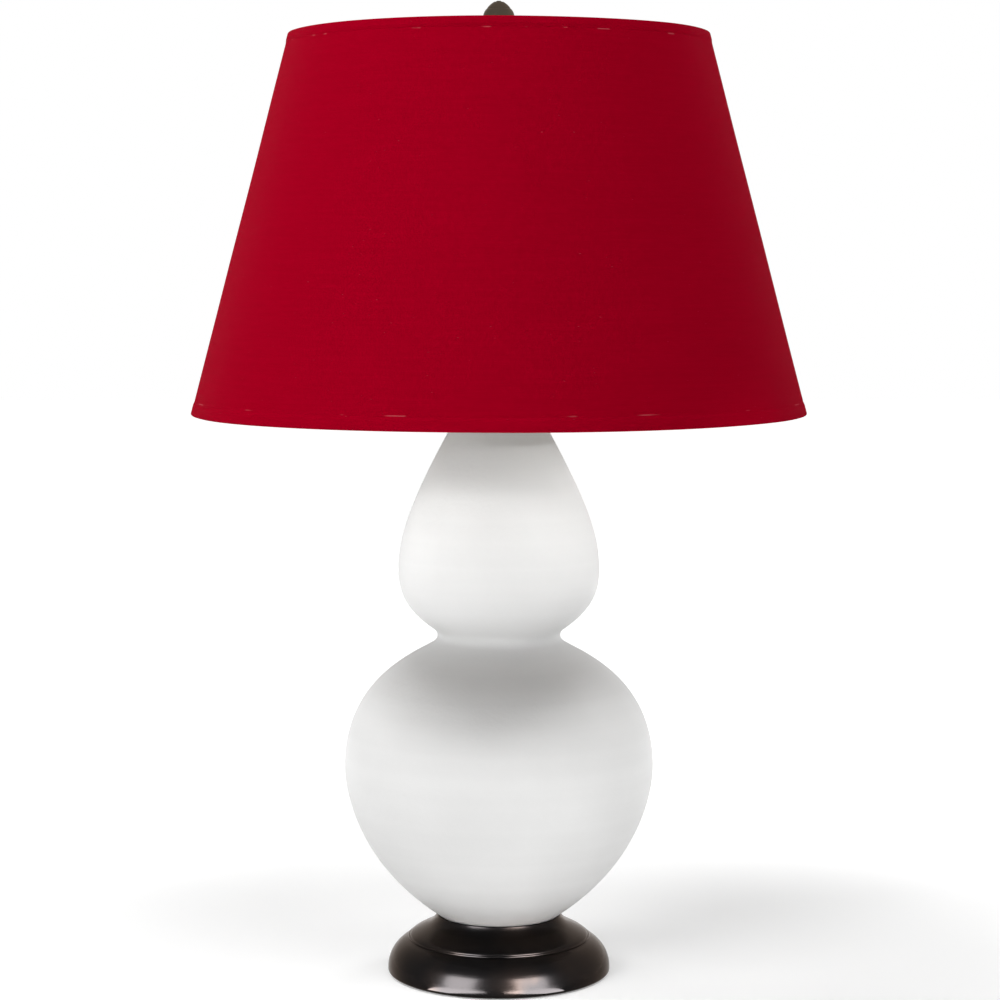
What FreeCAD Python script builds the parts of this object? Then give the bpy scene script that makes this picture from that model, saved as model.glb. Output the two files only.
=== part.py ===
"""A double-gourd table lamp: turned metal pedestal, ceramic gourd, harp, socket, bulb, cone shade, finial.

Millimetres, +Z up.  The origin is on the lamp's axis, on the surface it stands on.  The front is -Y.
Every piece is its own solid in its own file.  Outlines are drawn as (radius, height) and turned about Z.
"""
import FreeCAD, Part
import math
import os

V = FreeCAD.Vector
UP = V(0, 0, 1)
AXIS = V(0, 0, 0)

# ---------------------------------------------------------------- clearances
slip = 0.3              # radial play of a pipe, rod or screw in a plain hole
face_gap = 0.15         # gap between flat faces of pieces that turn or lift apart
fit_gap = 0.4           # play of a disc in its recess and of a cover over a spigot

hidden_steps = 2        # chords in a round stretch that is small or out of sight

# ---------------------------------------------------------------- pedestal
felt_thick = 2.0        # felt pad under the lamp
felt_proud = 1.0        # how far the felt stands below the metal rim
board_thick = 2.0       # fibreboard that closes the pedestal
base_radius = 88.7      # widest part of the pedestal
rim_round = 1.8         # rounded bottom edge
rim_land = 1.4          # upright land above the rounded edge
rim_wall = 2.9          # wall beside the felt
ledge_width = 3.3       # ledge that the board sits against
dome_height = 24.0      # big quarter-round of the pedestal
dome_inset = 16.7
base_wall = 2.8         # wall of the hollow casting
step_rise = 1.0         # small step over the quarter-round
step_inset = 0.8
shoulder_rise = 9.2     # round shoulder of the ogee over the step
shoulder_run = 13.9
shoulder_full_low, shoulder_full_high = 0.4, 0.54
ogee_slope = 28.0       # degrees, where the shoulder turns into the cove
cove_rise = 8.8         # cove of the ogee, up to the collar
collar_land = 0.7       # flat top of the collar
cup_depth = 7.2         # cup that takes the foot of the gourd
cup_gap = 0.5           # between the cup's mouth and the gourd's flare
plate_thick = 3.0       # web under the cup

# ---------------------------------------------------------------- cord inlet
inlet_height = 11.0     # over the surface that the lamp stands on, at the back
inlet_bore = 3.7        # radius of the opening for the flex
inlet_sleeve = 1.2      # wall of the bushing
inlet_play = 0.1
inlet_flange = 1.6      # how far the flange stands out round the sleeve
inlet_flange_thick = 1.3
inlet_snap = 0.8        # snap ring behind the wall: its rise and its width

# ---------------------------------------------------------------- pipe and clamping stack
pipe_radius = 4.8       # threaded lamp pipe
pipe_bore = 3.2
pipe_tail = 1.5         # pipe below the bottom nut
nut_thick = 6.0
nut_flats = 17.5        # across flats
washer_thick = 1.6
washer_radius = 11.0
ballast_thick = 16.0
ballast_radius = 45.0

# ---------------------------------------------------------------- gourd
gasket_thick = 1.5      # rubber ring under the gourd
gasket_width = 14.0
gourd_wall = 5.5
foot_radius = 43.9
foot_height = 2.6       # upright part of the foot ring
foot_chamfer = 0.8
foot_ring = 8.0         # width of the ring that stands on the gasket
foot_recess = 2.0
foot_hole = 8.0         # radius
flare_radius = 45.4     # where the body leaves the foot
flare_slope = 33.0      # degrees
lower_radius = 122.8    # lower belly
lower_height = 167.6
waist_radius = 49.0     # groove between the two bellies
waist_height = 271.5
groove_radius = 6.3
groove_below = 47.0     # degrees of the groove's arc below and above the waist
groove_above = 55.0
upper_radius = 79.6     # upper belly
upper_height = 322.2
neck_radius = 22.5
neck_top = 476.0
taper_radius = 42.6     # a point of the straight taper under the shade
taper_height = neck_top - 48.0
taper_slope = 118.5     # degrees
neck_sweep = 28.0       # radius of the bend from the taper into the neck
mouth_radius = 15.5
lip_round = 2.0
# how full each quarter of the outline is: handle lengths as shares of the quarter's height
flare_full, lower_full_below = 0.721, 0.090
lower_full_above, groove_full_below = 0.735, 0.123
groove_full_above, upper_full_below = 0.534, 0.412
upper_full_above, taper_full = 0.202, 0.682

# ---------------------------------------------------------------- cap and neck over the gourd
seal_thick = 1.2        # felt ring on the gourd's lip
cap_plate = 1.8
cap_rim_drop = 5.0      # turned-down rim of the cap
cap_rim_wall = 1.6
cap_dome = 3.4
cap_slope = 30.0        # degrees, at the foot of the dome
cap_boss_radius = 9.0
cap_boss_rise = 2.4
spacer_height = 13.5    # turned tube between cap and harp saddle
spacer_radius = 8.2
spacer_land = 1.5       # upright ends of the spacer
spacer_draw = 32.0      # degrees, how sharply it draws in between them

# ---------------------------------------------------------------- harp saddle and harp
saddle_thick = 1.8
saddle_width = 13.0
saddle_flat = 15.0      # half length of the flat part
saddle_lift = 9.9       # saddle's underside to the shoulders under the ferrules
harp_foot_half = 28.0   # half the distance between the harp's feet
saddle_rise = 6.0       # height of the sloping part, to the bend below the tongue
saddle_bend = 3.6
tongue_width = 3.6      # upright tongue that the ferrule locks
tongue_height = 12.0
locknut_thick = 3.0
locknut_radius = 9.5
wire_radius = 1.95      # harp wire
harp_half_width = 56.0
harp_straight = 31.5    # upright wire above the tongue, where the ferrule travels
harp_splay = 46.0       # height over which the wire spreads to full width
harp_spread_bend = 40.0
harp_top_bend = 47.0
pad_radius = 8.5        # eye at the top of the harp
pad_over = 0.15         # how far its faces stand over the wire
ferrule_length = 17.0
ferrule_wall = 1.7
ferrule_collar = 0.7    # rolled ends of the ferrule
ferrule_collar_height = 2.2

# ---------------------------------------------------------------- swivel stud
stud_radius = 3.1       # threaded post that carries shade and finial
stud_flange_radius = 10.5
stud_flange_thick = 2.0
stud_seat_radius = 5.2  # shoulder that centres the shade's washer
stud_head_radius = 5.4
stud_head_thick = 1.6
stud_thread_length = 19.0

# ---------------------------------------------------------------- socket
socket_hub_radius = 8.4
socket_hub_height = 9.0
socket_flare = 6.0      # height over which the socket's cap widens
sheet = 0.65            # sheet of the socket's cap and shell
shell_radius = 18.4
shell_height = 47.0
shell_seat = 5.0        # depth of the shell in the cap
bead_rise = 0.7         # rolled beads round the shell
bead_height = 3.0
bead_inset = 6.5        # beads, from either end of the open shell
ledge_in = 3.2          # ledge in the cap under shell, liner and switch block
liner_play = 0.1
liner_thick = 0.6       # fibre liner in the shell
liner_proud = 1.6
core_height = 24.0      # switch block
core_play = 0.9
screw_shell_bore = 13.4 # radius
screw_shell_lip = 1.2
screw_shell_height = 24.0
contact_thick = 0.8     # springy centre contact
contact_length = 17.0
contact_width = 6.0
terminal_radius = 2.4
terminal_thick = 1.6
terminal_sunk = 0.3     # head of a terminal screw under the block's side
set_screw_radius = 1.5
set_screw_proud = 1.5
set_screw_turn = 45.0   # degrees round the hub

# ---------------------------------------------------------------- switch key
key_height = 13.0       # key's axis over the bottom of the switch block
key_stem_radius = 1.6
key_stem_proud = 12.0   # stem outside the shell
key_depth = 5.0         # stem inside the switch block
key_play = 0.9          # round the stem in shell and liner
knob_radius = 6.4
knob_nose = 5.2
knob_length = 13.0
knob_grip = 7.0         # stem inside the knob
knob_flutes = 12
flute_radius = 1.0

# ---------------------------------------------------------------- bulb
bulb_cap_radius = 13.1
bulb_cap_height = 22.5
bulb_tip_radius = 4.8
bulb_tip_height = 2.6
bulb_neck_radius = 14.2
bulb_neck_height = 7.0
bulb_globe_radius = 30.0
bulb_globe_height = 54.5    # centre of the globe over the metal cap
bulb_full_low, bulb_full_high = 0.4, 0.38
bulb_glass = 1.0

# ---------------------------------------------------------------- shade
shade_top_radius = 163.6
shade_top_height = 742.7
shade_bottom_radius = 241.3
shade_bottom_height = 447.8
tape_thick = 0.5        # self-fabric hem
cloth_thick = 0.6
lining_thick = 0.6
top_hem = 8.0           # width of the hems on the outside
bottom_hem = 10.0
hem_return = 9.0        # width inside
hem_gather = 2.2        # height over which it closes on the lining, behind the ring
hem_ease = 0.4          # how much further its outer face runs before it does
ring_radius = 1.4       # wire of both rings
ring_flats = 8
spider_drop = 6.6       # top of the shade down to the seat of the washer
spider_arms = 3
spider_turn = 30.0      # degrees from the right to the first arm
arm_radius = 1.5
arm_root = 12.0         # where the arms end on the washer
shade_washer_radius = 16.0
shade_washer_thick = 1.5

# ---------------------------------------------------------------- finial
finial_height = 30.6
finial_seat_radius = 8.2
finial_seat_height = 2.6
finial_neck_height = 11.6   # drawn-in neck between seat and knob
finial_neck_hollow = 1.2    # step in from the seat to the neck
finial_neck_draw = 62.0     # degrees, how sharply the neck draws in over the seat
finial_neck_radius = 6.4    # where the neck meets the knob
finial_knob_radius = 12.2
finial_knob_under = 4.0     # rounded underside of the knob
finial_under_slope = 2.0    # degrees, where the underside leaves the neck
finial_knob_over = 6.2      # knob's widest place up to its groove
finial_groove_radius = 9.1
finial_groove_width = 0.6
finial_lip = 0.5            # knob's edge over the groove's bottom
finial_crown_radius = 3.8   # flat top
finial_crown_slope = 125.0  # degrees, where the crown leaves the groove
finial_nub_radius = 2.0
finial_nub_height = 0.8
finial_bore_depth = 20.0

# ================================================================ helpers


class Outline:
    """A closed outline of (radius, height) points, drawn edge by edge."""

    def __init__(self, r, z):
        self.edges = []
        self.start = self.here = V(r, 0, z)

    def line(self, r, z):
        end = V(r, 0, z)
        self.edges.append(Part.LineSegment(self.here, end).toShape())
        self.here = end
        return self

    def run(self, geometry, end, steps):
        """Add a curve, or so many equal chords of it."""
        edge = geometry.toShape()
        self.edges += Part.makePolygon(edge.discretize(steps + 1)).Edges if steps else [edge]
        self.here = end
        return self

    def arc(self, r, z, leaving, steps=0):
        """An arc to (r, z) that sets out in the direction `leaving`, in degrees from outwards to up."""
        end = V(r, 0, z)
        chord = end.sub(self.here)
        turn = math.atan2(chord.z, chord.x) - math.radians(leaving)
        bulge = math.tan(math.remainder(turn, 2 * math.pi) / 2) / 2
        middle = self.here.add(end).multiply(0.5).add(V(chord.z, 0, -chord.x).multiply(bulge))
        return self.run(Part.Arc(self.here, middle, end), end, steps)

    def curve(self, first, second, end, steps=0):
        """A cubic curve with two handles."""
        poles = [self.here] + [V(r, 0, z) for r, z in (first, second, end)]
        bezier = Part.BezierCurve()
        bezier.setPoles(poles)
        return self.run(bezier, poles[-1], steps)

    def close(self):
        if self.here.distanceToPoint(self.start) > 1e-6:
            self.line(self.start.x, self.start.z)
        return self

    def face(self):
        return Part.Face(Part.Wire(self.close().edges))

    def turned(self):
        """The solid of revolution about the lamp's axis."""
        return self.face().revolve(AXIS, UP, 360)


def disc(radius, bottom, height, hole=0.0):
    """A disc or ring on the axis."""
    solid = Part.makeCylinder(radius, height, V(0, 0, bottom))
    if hole:
        solid = solid.cut(Part.makeCylinder(hole, height, V(0, 0, bottom)))
    return solid


def rod(start, end, radius):
    return Part.makeCylinder(radius, start.distanceToPoint(end), start, end.sub(start))


def hexagon(flats, bottom, height, hole):
    """A hexagon nut on the axis, its upper corners turned down."""
    corner = flats / math.sqrt(3)
    points = [V(*polar(corner, 60 * n), bottom) for n in range(7)]
    prism = Part.Face(Part.makePolygon(points)).extrude(V(0, 0, height))
    cone = Part.makeCone(corner + height, flats / 2, height + corner - flats / 2, V(0, 0, bottom))
    return prism.common(cone).cut(disc(hole, bottom, height))


def polar(radius, degrees, centre=(0.0, 0.0)):
    a = math.radians(degrees)
    return centre[0] + radius * math.cos(a), centre[1] + radius * math.sin(a)


def bent_path(points, bends):
    """Straight runs between (x, z) points, joined by tangent arcs of the given radii."""
    spots = [V(x, 0, z) for x, z in points]
    edges, here = [], spots[0]
    for before, corner, after, radius in zip(spots, spots[1:], spots[2:], bends):
        into, out = corner.sub(before).normalize(), after.sub(corner).normalize()
        half = into.getAngle(out) / 2
        reach = radius * math.tan(half)
        start, end = corner.sub(into * reach), corner.add(out * reach)
        middle = corner.add(out.sub(into).normalize() * (radius / math.cos(half) - radius))
        edges.append(Part.LineSegment(here, start).toShape())
        edges.append(Part.Arc(start, middle, end).toShape())
        here = end
    edges.append(Part.LineSegment(here, spots[-1]).toShape())
    return Part.Wire(edges)


# ================================================================ levels up the axis

board_level = felt_thick
ledge_level = board_level + board_thick
dome_level = felt_proud + rim_round + rim_land
notch_radius = base_radius - dome_inset
notch_level = dome_level + dome_height
step_radius = notch_radius - step_inset
step_level = notch_level + step_rise
cove_radius = step_radius - shoulder_run
cove_level = step_level + shoulder_rise
collar_level = cove_level + cove_rise
cup_level = collar_level - cup_depth
plate_level = cup_level - plate_thick
recess_radius = base_radius - rim_wall
ledge_radius = recess_radius - ledge_width
pad_disc_radius = recess_radius - fit_gap
cup_radius = foot_radius + fit_gap
pipe_hole = pipe_radius + slip

ballast_level = plate_level - ballast_thick
washer_level = ballast_level - washer_thick
nut_level = washer_level - nut_thick
pipe_level = nut_level - pipe_tail

foot_level = cup_level + gasket_thick
flare_level = foot_level + foot_height + flare_radius - foot_radius
lean = math.radians(flare_slope)
mouth_rise = collar_level - flare_level + cup_gap * math.cos(lean)
cup_mouth = flare_radius + cup_gap * math.sin(lean) + mouth_rise / math.tan(lean)
collar_radius = cup_mouth + collar_land
seal_level = neck_top
cap_level = seal_level + seal_thick
boss_level = cap_level + cap_plate + cap_dome + cap_boss_rise
saddle_level = boss_level + spacer_height
locknut_level = saddle_level + saddle_thick
hub_level = locknut_level + locknut_thick
hub_top = hub_level + socket_hub_height
ledge_top = hub_top + socket_flare
shell_top = ledge_top + shell_height
core_radius = shell_radius - sheet - liner_play - liner_thick - core_play
core_top = ledge_top + core_height
key_level = ledge_top + key_height
contact_top = core_top + contact_thick
bulb_tip_level = contact_top + face_gap
bulb_cap_level = bulb_tip_level + bulb_tip_height
glass_level = bulb_cap_level + bulb_cap_height

tongue_level = saddle_level + saddle_lift
tongue_top = tongue_level + tongue_height

washer_seat = shade_top_height - spider_drop
flange_level = washer_seat - face_gap - stud_flange_thick
pad_thick = 2 * (wire_radius + pad_over)
pad_level = flange_level - face_gap - pad_thick
finial_level = washer_seat + shade_washer_thick + face_gap

dome_radius = (dome_inset ** 2 + dome_height ** 2) / (2 * dome_inset)
dome_centre = (base_radius - dome_radius, dome_level)
dome_sweep = math.degrees(math.asin(dome_height / dome_radius))


# ================================================================ pedestal


def felt_pad():
    return disc(pad_disc_radius, 0, felt_thick)


def bottom_board():
    return disc(pad_disc_radius, board_level, board_thick)


def pedestal_block():
    """The pedestal's outside as a solid block."""
    back_r, back_z = polar(shoulder_full_high * shoulder_run, -ogee_slope, (cove_radius, cove_level))
    o = Outline(0, felt_proud)
    o.line(base_radius - rim_round, felt_proud)
    o.arc(base_radius, felt_proud + rim_round, 0, hidden_steps)
    o.line(base_radius, dome_level)
    o.arc(notch_radius, notch_level, 90)
    o.line(step_radius, step_level)
    o.curve((step_radius, step_level + shoulder_full_low * shoulder_rise), (back_r, back_z),
            (cove_radius, cove_level))
    o.arc(collar_radius, collar_level, 180 - ogee_slope)
    o.line(0, collar_level)
    return o.turned()


def pedestal_hollow():
    """The hollow under the web, with the recess for board and felt."""
    inner = dome_radius - base_wall
    reach = math.sqrt(inner ** 2 - (ledge_radius - dome_centre[0]) ** 2)
    turn = math.degrees(math.atan2(reach, ledge_radius - dome_centre[0]))
    o = Outline(0, 0)
    o.line(recess_radius, 0).line(recess_radius, ledge_level).line(ledge_radius, ledge_level)
    o.line(ledge_radius, dome_level + reach)
    o.arc(*polar(inner, dome_sweep, dome_centre), 90 + turn, hidden_steps)
    o.line(cove_radius - 2 * base_wall, plate_level)
    o.line(0, plate_level)
    return o.turned()


def pedestal_cup():
    """The cup that takes the gourd's foot, opened out to follow the gourd's flare."""
    o = Outline(0, cup_level)
    o.line(cup_radius, cup_level)
    o.line(cup_radius, collar_level - (cup_mouth - cup_radius) * math.tan(lean))
    o.line(cup_mouth, collar_level).line(cup_mouth, collar_level + cup_depth)
    o.line(0, collar_level + cup_depth)
    return o.turned()


def inlet_rod(radius, near, far):
    """A rod on the cord inlet's line, between two distances behind the axis."""
    return rod(V(0, near, inlet_height), V(0, far, inlet_height), radius)


def pedestal_base():
    solid = pedestal_block().cut(pedestal_hollow()).cut(pedestal_cup())
    solid = solid.cut(disc(pipe_hole, 0, collar_level))
    return solid.cut(inlet_rod(inlet_bore + inlet_sleeve + inlet_play, cove_radius, base_radius))


def cord_bushing():
    """A snap-in bushing: flange on the pedestal's skin, ring behind its wall."""
    sleeve = inlet_bore + inlet_sleeve
    snap = sleeve + inlet_snap
    wall_inside = math.sqrt(ledge_radius ** 2 - snap ** 2) - inlet_play
    inside = wall_inside - inlet_snap
    outside = base_radius + inlet_flange_thick
    flange = inlet_rod(sleeve + inlet_flange, ledge_radius, outside).cut(pedestal_block())
    solid = inlet_rod(sleeve, inside, outside).fuse(flange)
    solid = solid.fuse(inlet_rod(snap, inside, wall_inside))
    return solid.cut(inlet_rod(inlet_bore, inside, outside)).removeSplitter()


def ballast_disc():
    return disc(ballast_radius, ballast_level, ballast_thick, pipe_hole)


def bottom_washer():
    return disc(washer_radius, washer_level, washer_thick, pipe_hole)


def bottom_nut():
    return hexagon(nut_flats, nut_level, nut_thick, pipe_radius)


def lamp_pipe():
    return disc(pipe_radius, pipe_level, hub_top - pipe_level, pipe_bore)


# ================================================================ gourd


def gourd_curves():
    """The gourd's outline from flare to neck: lower belly, groove, upper belly, taper."""
    o = Outline(flare_radius, flare_level)
    rise = lower_height - flare_level
    first = polar(flare_full * rise, flare_slope, (flare_radius, flare_level))
    o.curve(first, (lower_radius, lower_height - lower_full_below * rise), (lower_radius, lower_height))

    centre = (waist_radius + groove_radius, waist_height)
    low = polar(groove_radius, 180 + groove_below, centre)
    high = polar(groove_radius, 180 - groove_above, centre)
    rise = low[1] - lower_height
    handle = polar(groove_full_below * rise, groove_below - 90, low)
    o.curve((lower_radius, lower_height + lower_full_above * rise), handle, low)
    o.arc(*high, groove_below + 90)

    rise = upper_height - high[1]
    handle = polar(groove_full_above * rise, 90 - groove_above, high)
    o.curve(handle, (upper_radius, upper_height - upper_full_below * rise), (upper_radius, upper_height))

    rise = taper_height - upper_height
    handle = polar(-taper_full * rise, taper_slope, (taper_radius, taper_height))
    o.curve((upper_radius, upper_height + upper_full_above * rise), handle, (taper_radius, taper_height))

    bend = math.radians(taper_slope - 90)
    meet = taper_height + (taper_radius - neck_radius) / math.tan(bend)
    reach = neck_sweep * math.tan(bend / 2)
    o.line(*polar(-reach, taper_slope, (neck_radius, meet)))
    o.arc(neck_radius, meet + reach, taper_slope)
    return o


def inset_point(edge, share):
    """The (radius, height) under the glaze by the wall, at a share of one of the outline's edges."""
    first, last = edge.ParameterRange
    at = first + share * (last - first)
    point, along = edge.valueAt(at), edge.tangentAt(at)
    return point.x - along.z * gourd_wall, point.z + along.x * gourd_wall


def gourd_hollow(curves):
    """The cast hollow, in straight steps that follow the outline inside the wall."""
    flare, shoulder, _, upper, taper = curves.edges[:5]
    floor = foot_level + foot_recess + gourd_wall
    o = Outline(0, floor)
    o.line(foot_radius - foot_ring, floor)
    for edge, shares in ((flare, (0.3, 0.65, 1.0)), (shoulder, (0.35, 0.7))):
        for share in shares:
            o.line(*inset_point(edge, share))
    o.line(waist_radius - gourd_wall, waist_height)
    for edge, shares in ((upper, (0.4, 1.0)), (taper, (0.5, 1.0))):
        for share in shares:
            o.line(*inset_point(edge, share))
    o.line(mouth_radius, neck_top - neck_sweep / 2)
    o.line(mouth_radius, neck_top)
    o.line(0, neck_top)
    return o.turned()


def gourd_body():
    curves = gourd_curves()
    o = Outline(0, foot_level)
    o.line(foot_radius - foot_chamfer, foot_level)
    o.line(foot_radius, foot_level + foot_chamfer)
    o.line(foot_radius, foot_level + foot_height)
    o.line(flare_radius, flare_level)
    o.edges += curves.edges
    o.here = curves.here
    o.line(neck_radius, neck_top - lip_round)
    o.arc(neck_radius - lip_round, neck_top, 90)
    o.line(0, neck_top)
    solid = o.turned().cut(gourd_hollow(curves))
    solid = solid.cut(disc(foot_radius - foot_ring, foot_level, foot_recess))
    return solid.cut(disc(foot_hole, foot_level, foot_recess + gourd_wall))


def foot_gasket():
    return disc(foot_radius - foot_chamfer, cup_level, gasket_thick, foot_radius - gasket_width)


def neck_seal():
    return disc(neck_radius - lip_round, neck_top, seal_thick, mouth_radius)


# ================================================================ cap and neck


def vase_cap():
    """A turned cap with a rim down over the gourd's lip and a boss for the spacer."""
    inner = neck_radius + fit_gap
    outer = inner + cap_rim_wall
    brim = cap_level + cap_plate
    o = Outline(pipe_hole, cap_level)
    o.line(inner, cap_level).line(inner, cap_level - cap_rim_drop)
    o.line(outer, cap_level - cap_rim_drop).line(outer, brim - cap_rim_wall)
    o.arc(outer - cap_rim_wall, brim, 90, hidden_steps)
    o.arc(cap_boss_radius, brim + cap_dome, 180 - cap_slope, hidden_steps)
    o.line(cap_boss_radius, boss_level).line(pipe_hole, boss_level)
    return o.turned()


def neck_spacer():
    o = Outline(pipe_hole, boss_level)
    o.line(spacer_radius, boss_level)
    o.line(spacer_radius, boss_level + spacer_land)
    o.arc(spacer_radius, saddle_level - spacer_land, 90 + spacer_draw, 2 * hidden_steps)
    o.line(spacer_radius, saddle_level).line(pipe_hole, saddle_level)
    return o.turned()


# ================================================================ harp


def harp_saddle():
    """A strip bent up at both ends, cut down there to a tongue for each harp foot."""
    outer = harp_foot_half + saddle_thick / 2
    right = [(saddle_flat, saddle_level), (outer, saddle_level + saddle_rise), (outer, tongue_top)]
    path = bent_path([(-x, z) for x, z in reversed(right)] + right, [saddle_bend] * 4)
    side = path.makeOffset2D(saddle_thick, 0, True, True)

    def strip(width):
        return side.translated(V(0, -width / 2, 0)).extrude(V(0, width, 0))

    below = Part.makeBox(2 * outer, saddle_width, saddle_lift, V(-outer, -saddle_width / 2, saddle_level))
    solid = strip(saddle_width).common(below).fuse(strip(tongue_width)).removeSplitter()
    return solid.cut(disc(pipe_hole, saddle_level, saddle_thick))


def locknut():
    """A round nut with chamfered edges."""
    edge = locknut_thick / 4
    o = Outline(pipe_radius, locknut_level)
    o.line(locknut_radius - edge, locknut_level).line(locknut_radius, locknut_level + edge)
    o.line(locknut_radius, hub_level - edge).line(locknut_radius - edge, hub_level)
    o.line(pipe_radius, hub_level)
    return o.turned()


def harp_wire():
    """One wire from foot to foot, with the eye for the swivel at its top."""
    spread = tongue_top + harp_straight
    right = [(harp_foot_half, tongue_top), (harp_foot_half, spread),
             (harp_half_width, spread + harp_splay), (harp_half_width, pad_level + pad_thick / 2)]
    bends = [harp_spread_bend, harp_spread_bend, harp_top_bend]
    path = bent_path(right + [(-x, z) for x, z in reversed(right)], bends + bends[::-1])
    section = Part.Wire(Part.makeCircle(wire_radius, V(harp_foot_half, 0, tongue_top), UP))
    wire = path.makePipeShell([section], True, True)
    eye = disc(stud_radius + slip, pad_level, pad_thick)
    return wire.fuse(disc(pad_radius, pad_level, pad_thick)).cut(eye)


def harp_ferrule(side):
    """The sleeve that locks one foot of the harp and slides up its wire to free it."""
    bore = max(wire_radius, math.hypot(tongue_width, saddle_thick) / 2) + slip
    outer = bore + ferrule_wall
    rim = outer + ferrule_collar
    bottom = tongue_level + face_gap
    top = bottom + ferrule_length
    o = Outline(bore, bottom)
    o.line(rim, bottom).line(rim, bottom + ferrule_collar_height)
    o.line(outer, bottom + ferrule_collar_height).line(outer, top - ferrule_collar_height)
    o.line(rim, top - ferrule_collar_height).line(rim, top).line(bore, top)
    return o.turned().translated(V(side * harp_foot_half, 0, 0))


def swivel_stud():
    """The post that turns in the harp's eye: head below, flange, shade seat and screw above."""
    head = pad_level - face_gap - stud_head_thick
    seat_top = washer_seat + shade_washer_thick / 2
    o = Outline(0, head)
    o.line(stud_head_radius, head).line(stud_head_radius, head + stud_head_thick)
    o.line(stud_radius, head + stud_head_thick).line(stud_radius, flange_level)
    o.line(stud_flange_radius, flange_level)
    o.line(stud_flange_radius, flange_level + stud_flange_thick)
    o.line(stud_seat_radius, flange_level + stud_flange_thick).line(stud_seat_radius, seat_top)
    o.line(stud_radius, seat_top).line(stud_radius, washer_seat + stud_thread_length)
    o.line(0, washer_seat + stud_thread_length)
    return o.turned()


# ================================================================ socket


def set_screw():
    start, end = (V(*polar(r, set_screw_turn), hub_level + socket_hub_height / 2)
                  for r in (pipe_radius + face_gap, socket_hub_radius + set_screw_proud))
    return rod(start, end, set_screw_radius)


def socket_cap():
    """The bell under the socket, with a ledge in it and a hub on the pipe."""
    inner = shell_radius + liner_play
    outer = inner + sheet
    brow = ledge_top + shell_seat
    o = Outline(pipe_radius, hub_level)
    o.line(socket_hub_radius, hub_level).line(socket_hub_radius, hub_top)
    o.arc(outer, ledge_top, 0, 2 * hidden_steps)
    o.line(outer, brow).line(inner, brow).line(inner, ledge_top).line(inner - ledge_in, ledge_top)
    o.line(socket_hub_radius, hub_top + sheet)
    o.line(pipe_radius, hub_top + sheet)
    return o.turned().cut(set_screw())


def key_rod(radius, near, far):
    """A rod on the key's line, between two distances in front of the axis."""
    return rod(V(0, -near, key_level), V(0, -far, key_level), radius)


def key_hole():
    return key_rod(key_stem_radius + key_play, core_radius, shell_radius + bead_rise)


def socket_shell():
    """A thin drum with two rolled beads and a hole for the key."""
    o = Outline(shell_radius - sheet, ledge_top)
    o.line(shell_radius, ledge_top)
    for middle in (ledge_top + shell_seat + bead_inset, shell_top - bead_inset):
        o.line(shell_radius, middle - bead_height / 2)
        o.line(shell_radius + bead_rise, middle)
        o.line(shell_radius, middle + bead_height / 2)
    o.line(shell_radius, shell_top).line(shell_radius - sheet, shell_top)
    return o.turned().cut(key_hole())


def socket_liner():
    outer = shell_radius - sheet - liner_play
    return disc(outer, ledge_top, shell_height + liner_proud, outer - liner_thick).cut(key_hole())


def terminal_line(side, radius, depth, sunk):
    """A round seat or head in one side of the switch block."""
    start, end = (V(side * (core_radius - inset), 0, key_level) for inset in (depth, sunk))
    return rod(start, end, radius)


def switch_block():
    """The moulded block with the switch in it, a hole for the key and seats for the terminals."""
    block = disc(core_radius, ledge_top, core_height)
    block = block.cut(key_rod(key_stem_radius + slip, core_radius - key_depth - slip, core_radius))
    for side in (-1, 1):
        block = block.cut(terminal_line(side, terminal_radius + slip, terminal_thick + terminal_sunk, 0))
    return block


def terminal_screws():
    depth = terminal_thick + terminal_sunk
    heads = [terminal_line(side, terminal_radius, depth, terminal_sunk) for side in (-1, 1)]
    return Part.makeCompound(heads)


def centre_contact():
    corner = V(-contact_length / 2, -contact_width / 2, core_top)
    return Part.makeBox(contact_length, contact_width, contact_thick, corner)


def screw_shell():
    """The drawn shell that the bulb screws into, its mouth turned outwards."""
    outer = screw_shell_bore + sheet
    top = core_top + screw_shell_height
    neck = top - screw_shell_lip
    o = Outline(screw_shell_bore, core_top)
    o.line(outer, core_top).line(outer, neck).line(outer + screw_shell_lip, top)
    o.line(outer + screw_shell_lip - sheet, top).line(screw_shell_bore, neck)
    return o.turned()


def switch_stem():
    return key_rod(key_stem_radius, core_radius - key_depth, shell_radius + key_stem_proud)


def switch_knob():
    """A fluted turn knob, blind on the stem."""
    start = shell_radius + key_stem_proud - knob_grip
    base = V(0, -start, key_level)
    forward = V(0, -1, 0)
    knob = Part.makeCone(knob_radius, knob_nose, knob_length, base, forward)
    knob = knob.cut(key_rod(key_stem_radius, start, start + knob_grip))
    for n in range(knob_flutes):
        x, z = polar(knob_radius, 360 * n / knob_flutes, (0, key_level))
        knob = knob.cut(Part.makeCylinder(flute_radius, knob_length, V(x, -start, z), forward))
    return knob


# ================================================================ bulb


def bulb_screw_cap():
    o = Outline(0, bulb_tip_level)
    o.line(bulb_tip_radius, bulb_tip_level)
    o.line(bulb_cap_radius - bulb_tip_height, bulb_cap_level)
    o.line(bulb_cap_radius, bulb_cap_level + bulb_tip_height)
    o.line(bulb_cap_radius, glass_level).line(0, glass_level)
    return o.turned()


def globe(inset, steps):
    """The envelope's outside, or its inside when set in by the glass."""
    middle = glass_level + bulb_globe_height
    neck, radius = bulb_neck_radius - inset, bulb_globe_radius - inset
    run = bulb_globe_height - bulb_neck_height
    o = Outline(0, glass_level + inset)
    o.line(neck, glass_level + inset).line(neck, glass_level + bulb_neck_height)
    o.curve((neck, glass_level + bulb_neck_height + bulb_full_low * run),
            (radius, middle - bulb_full_high * run), (radius, middle), steps)
    o.arc(0, middle + radius, 90, steps)
    return o.turned()


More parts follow.
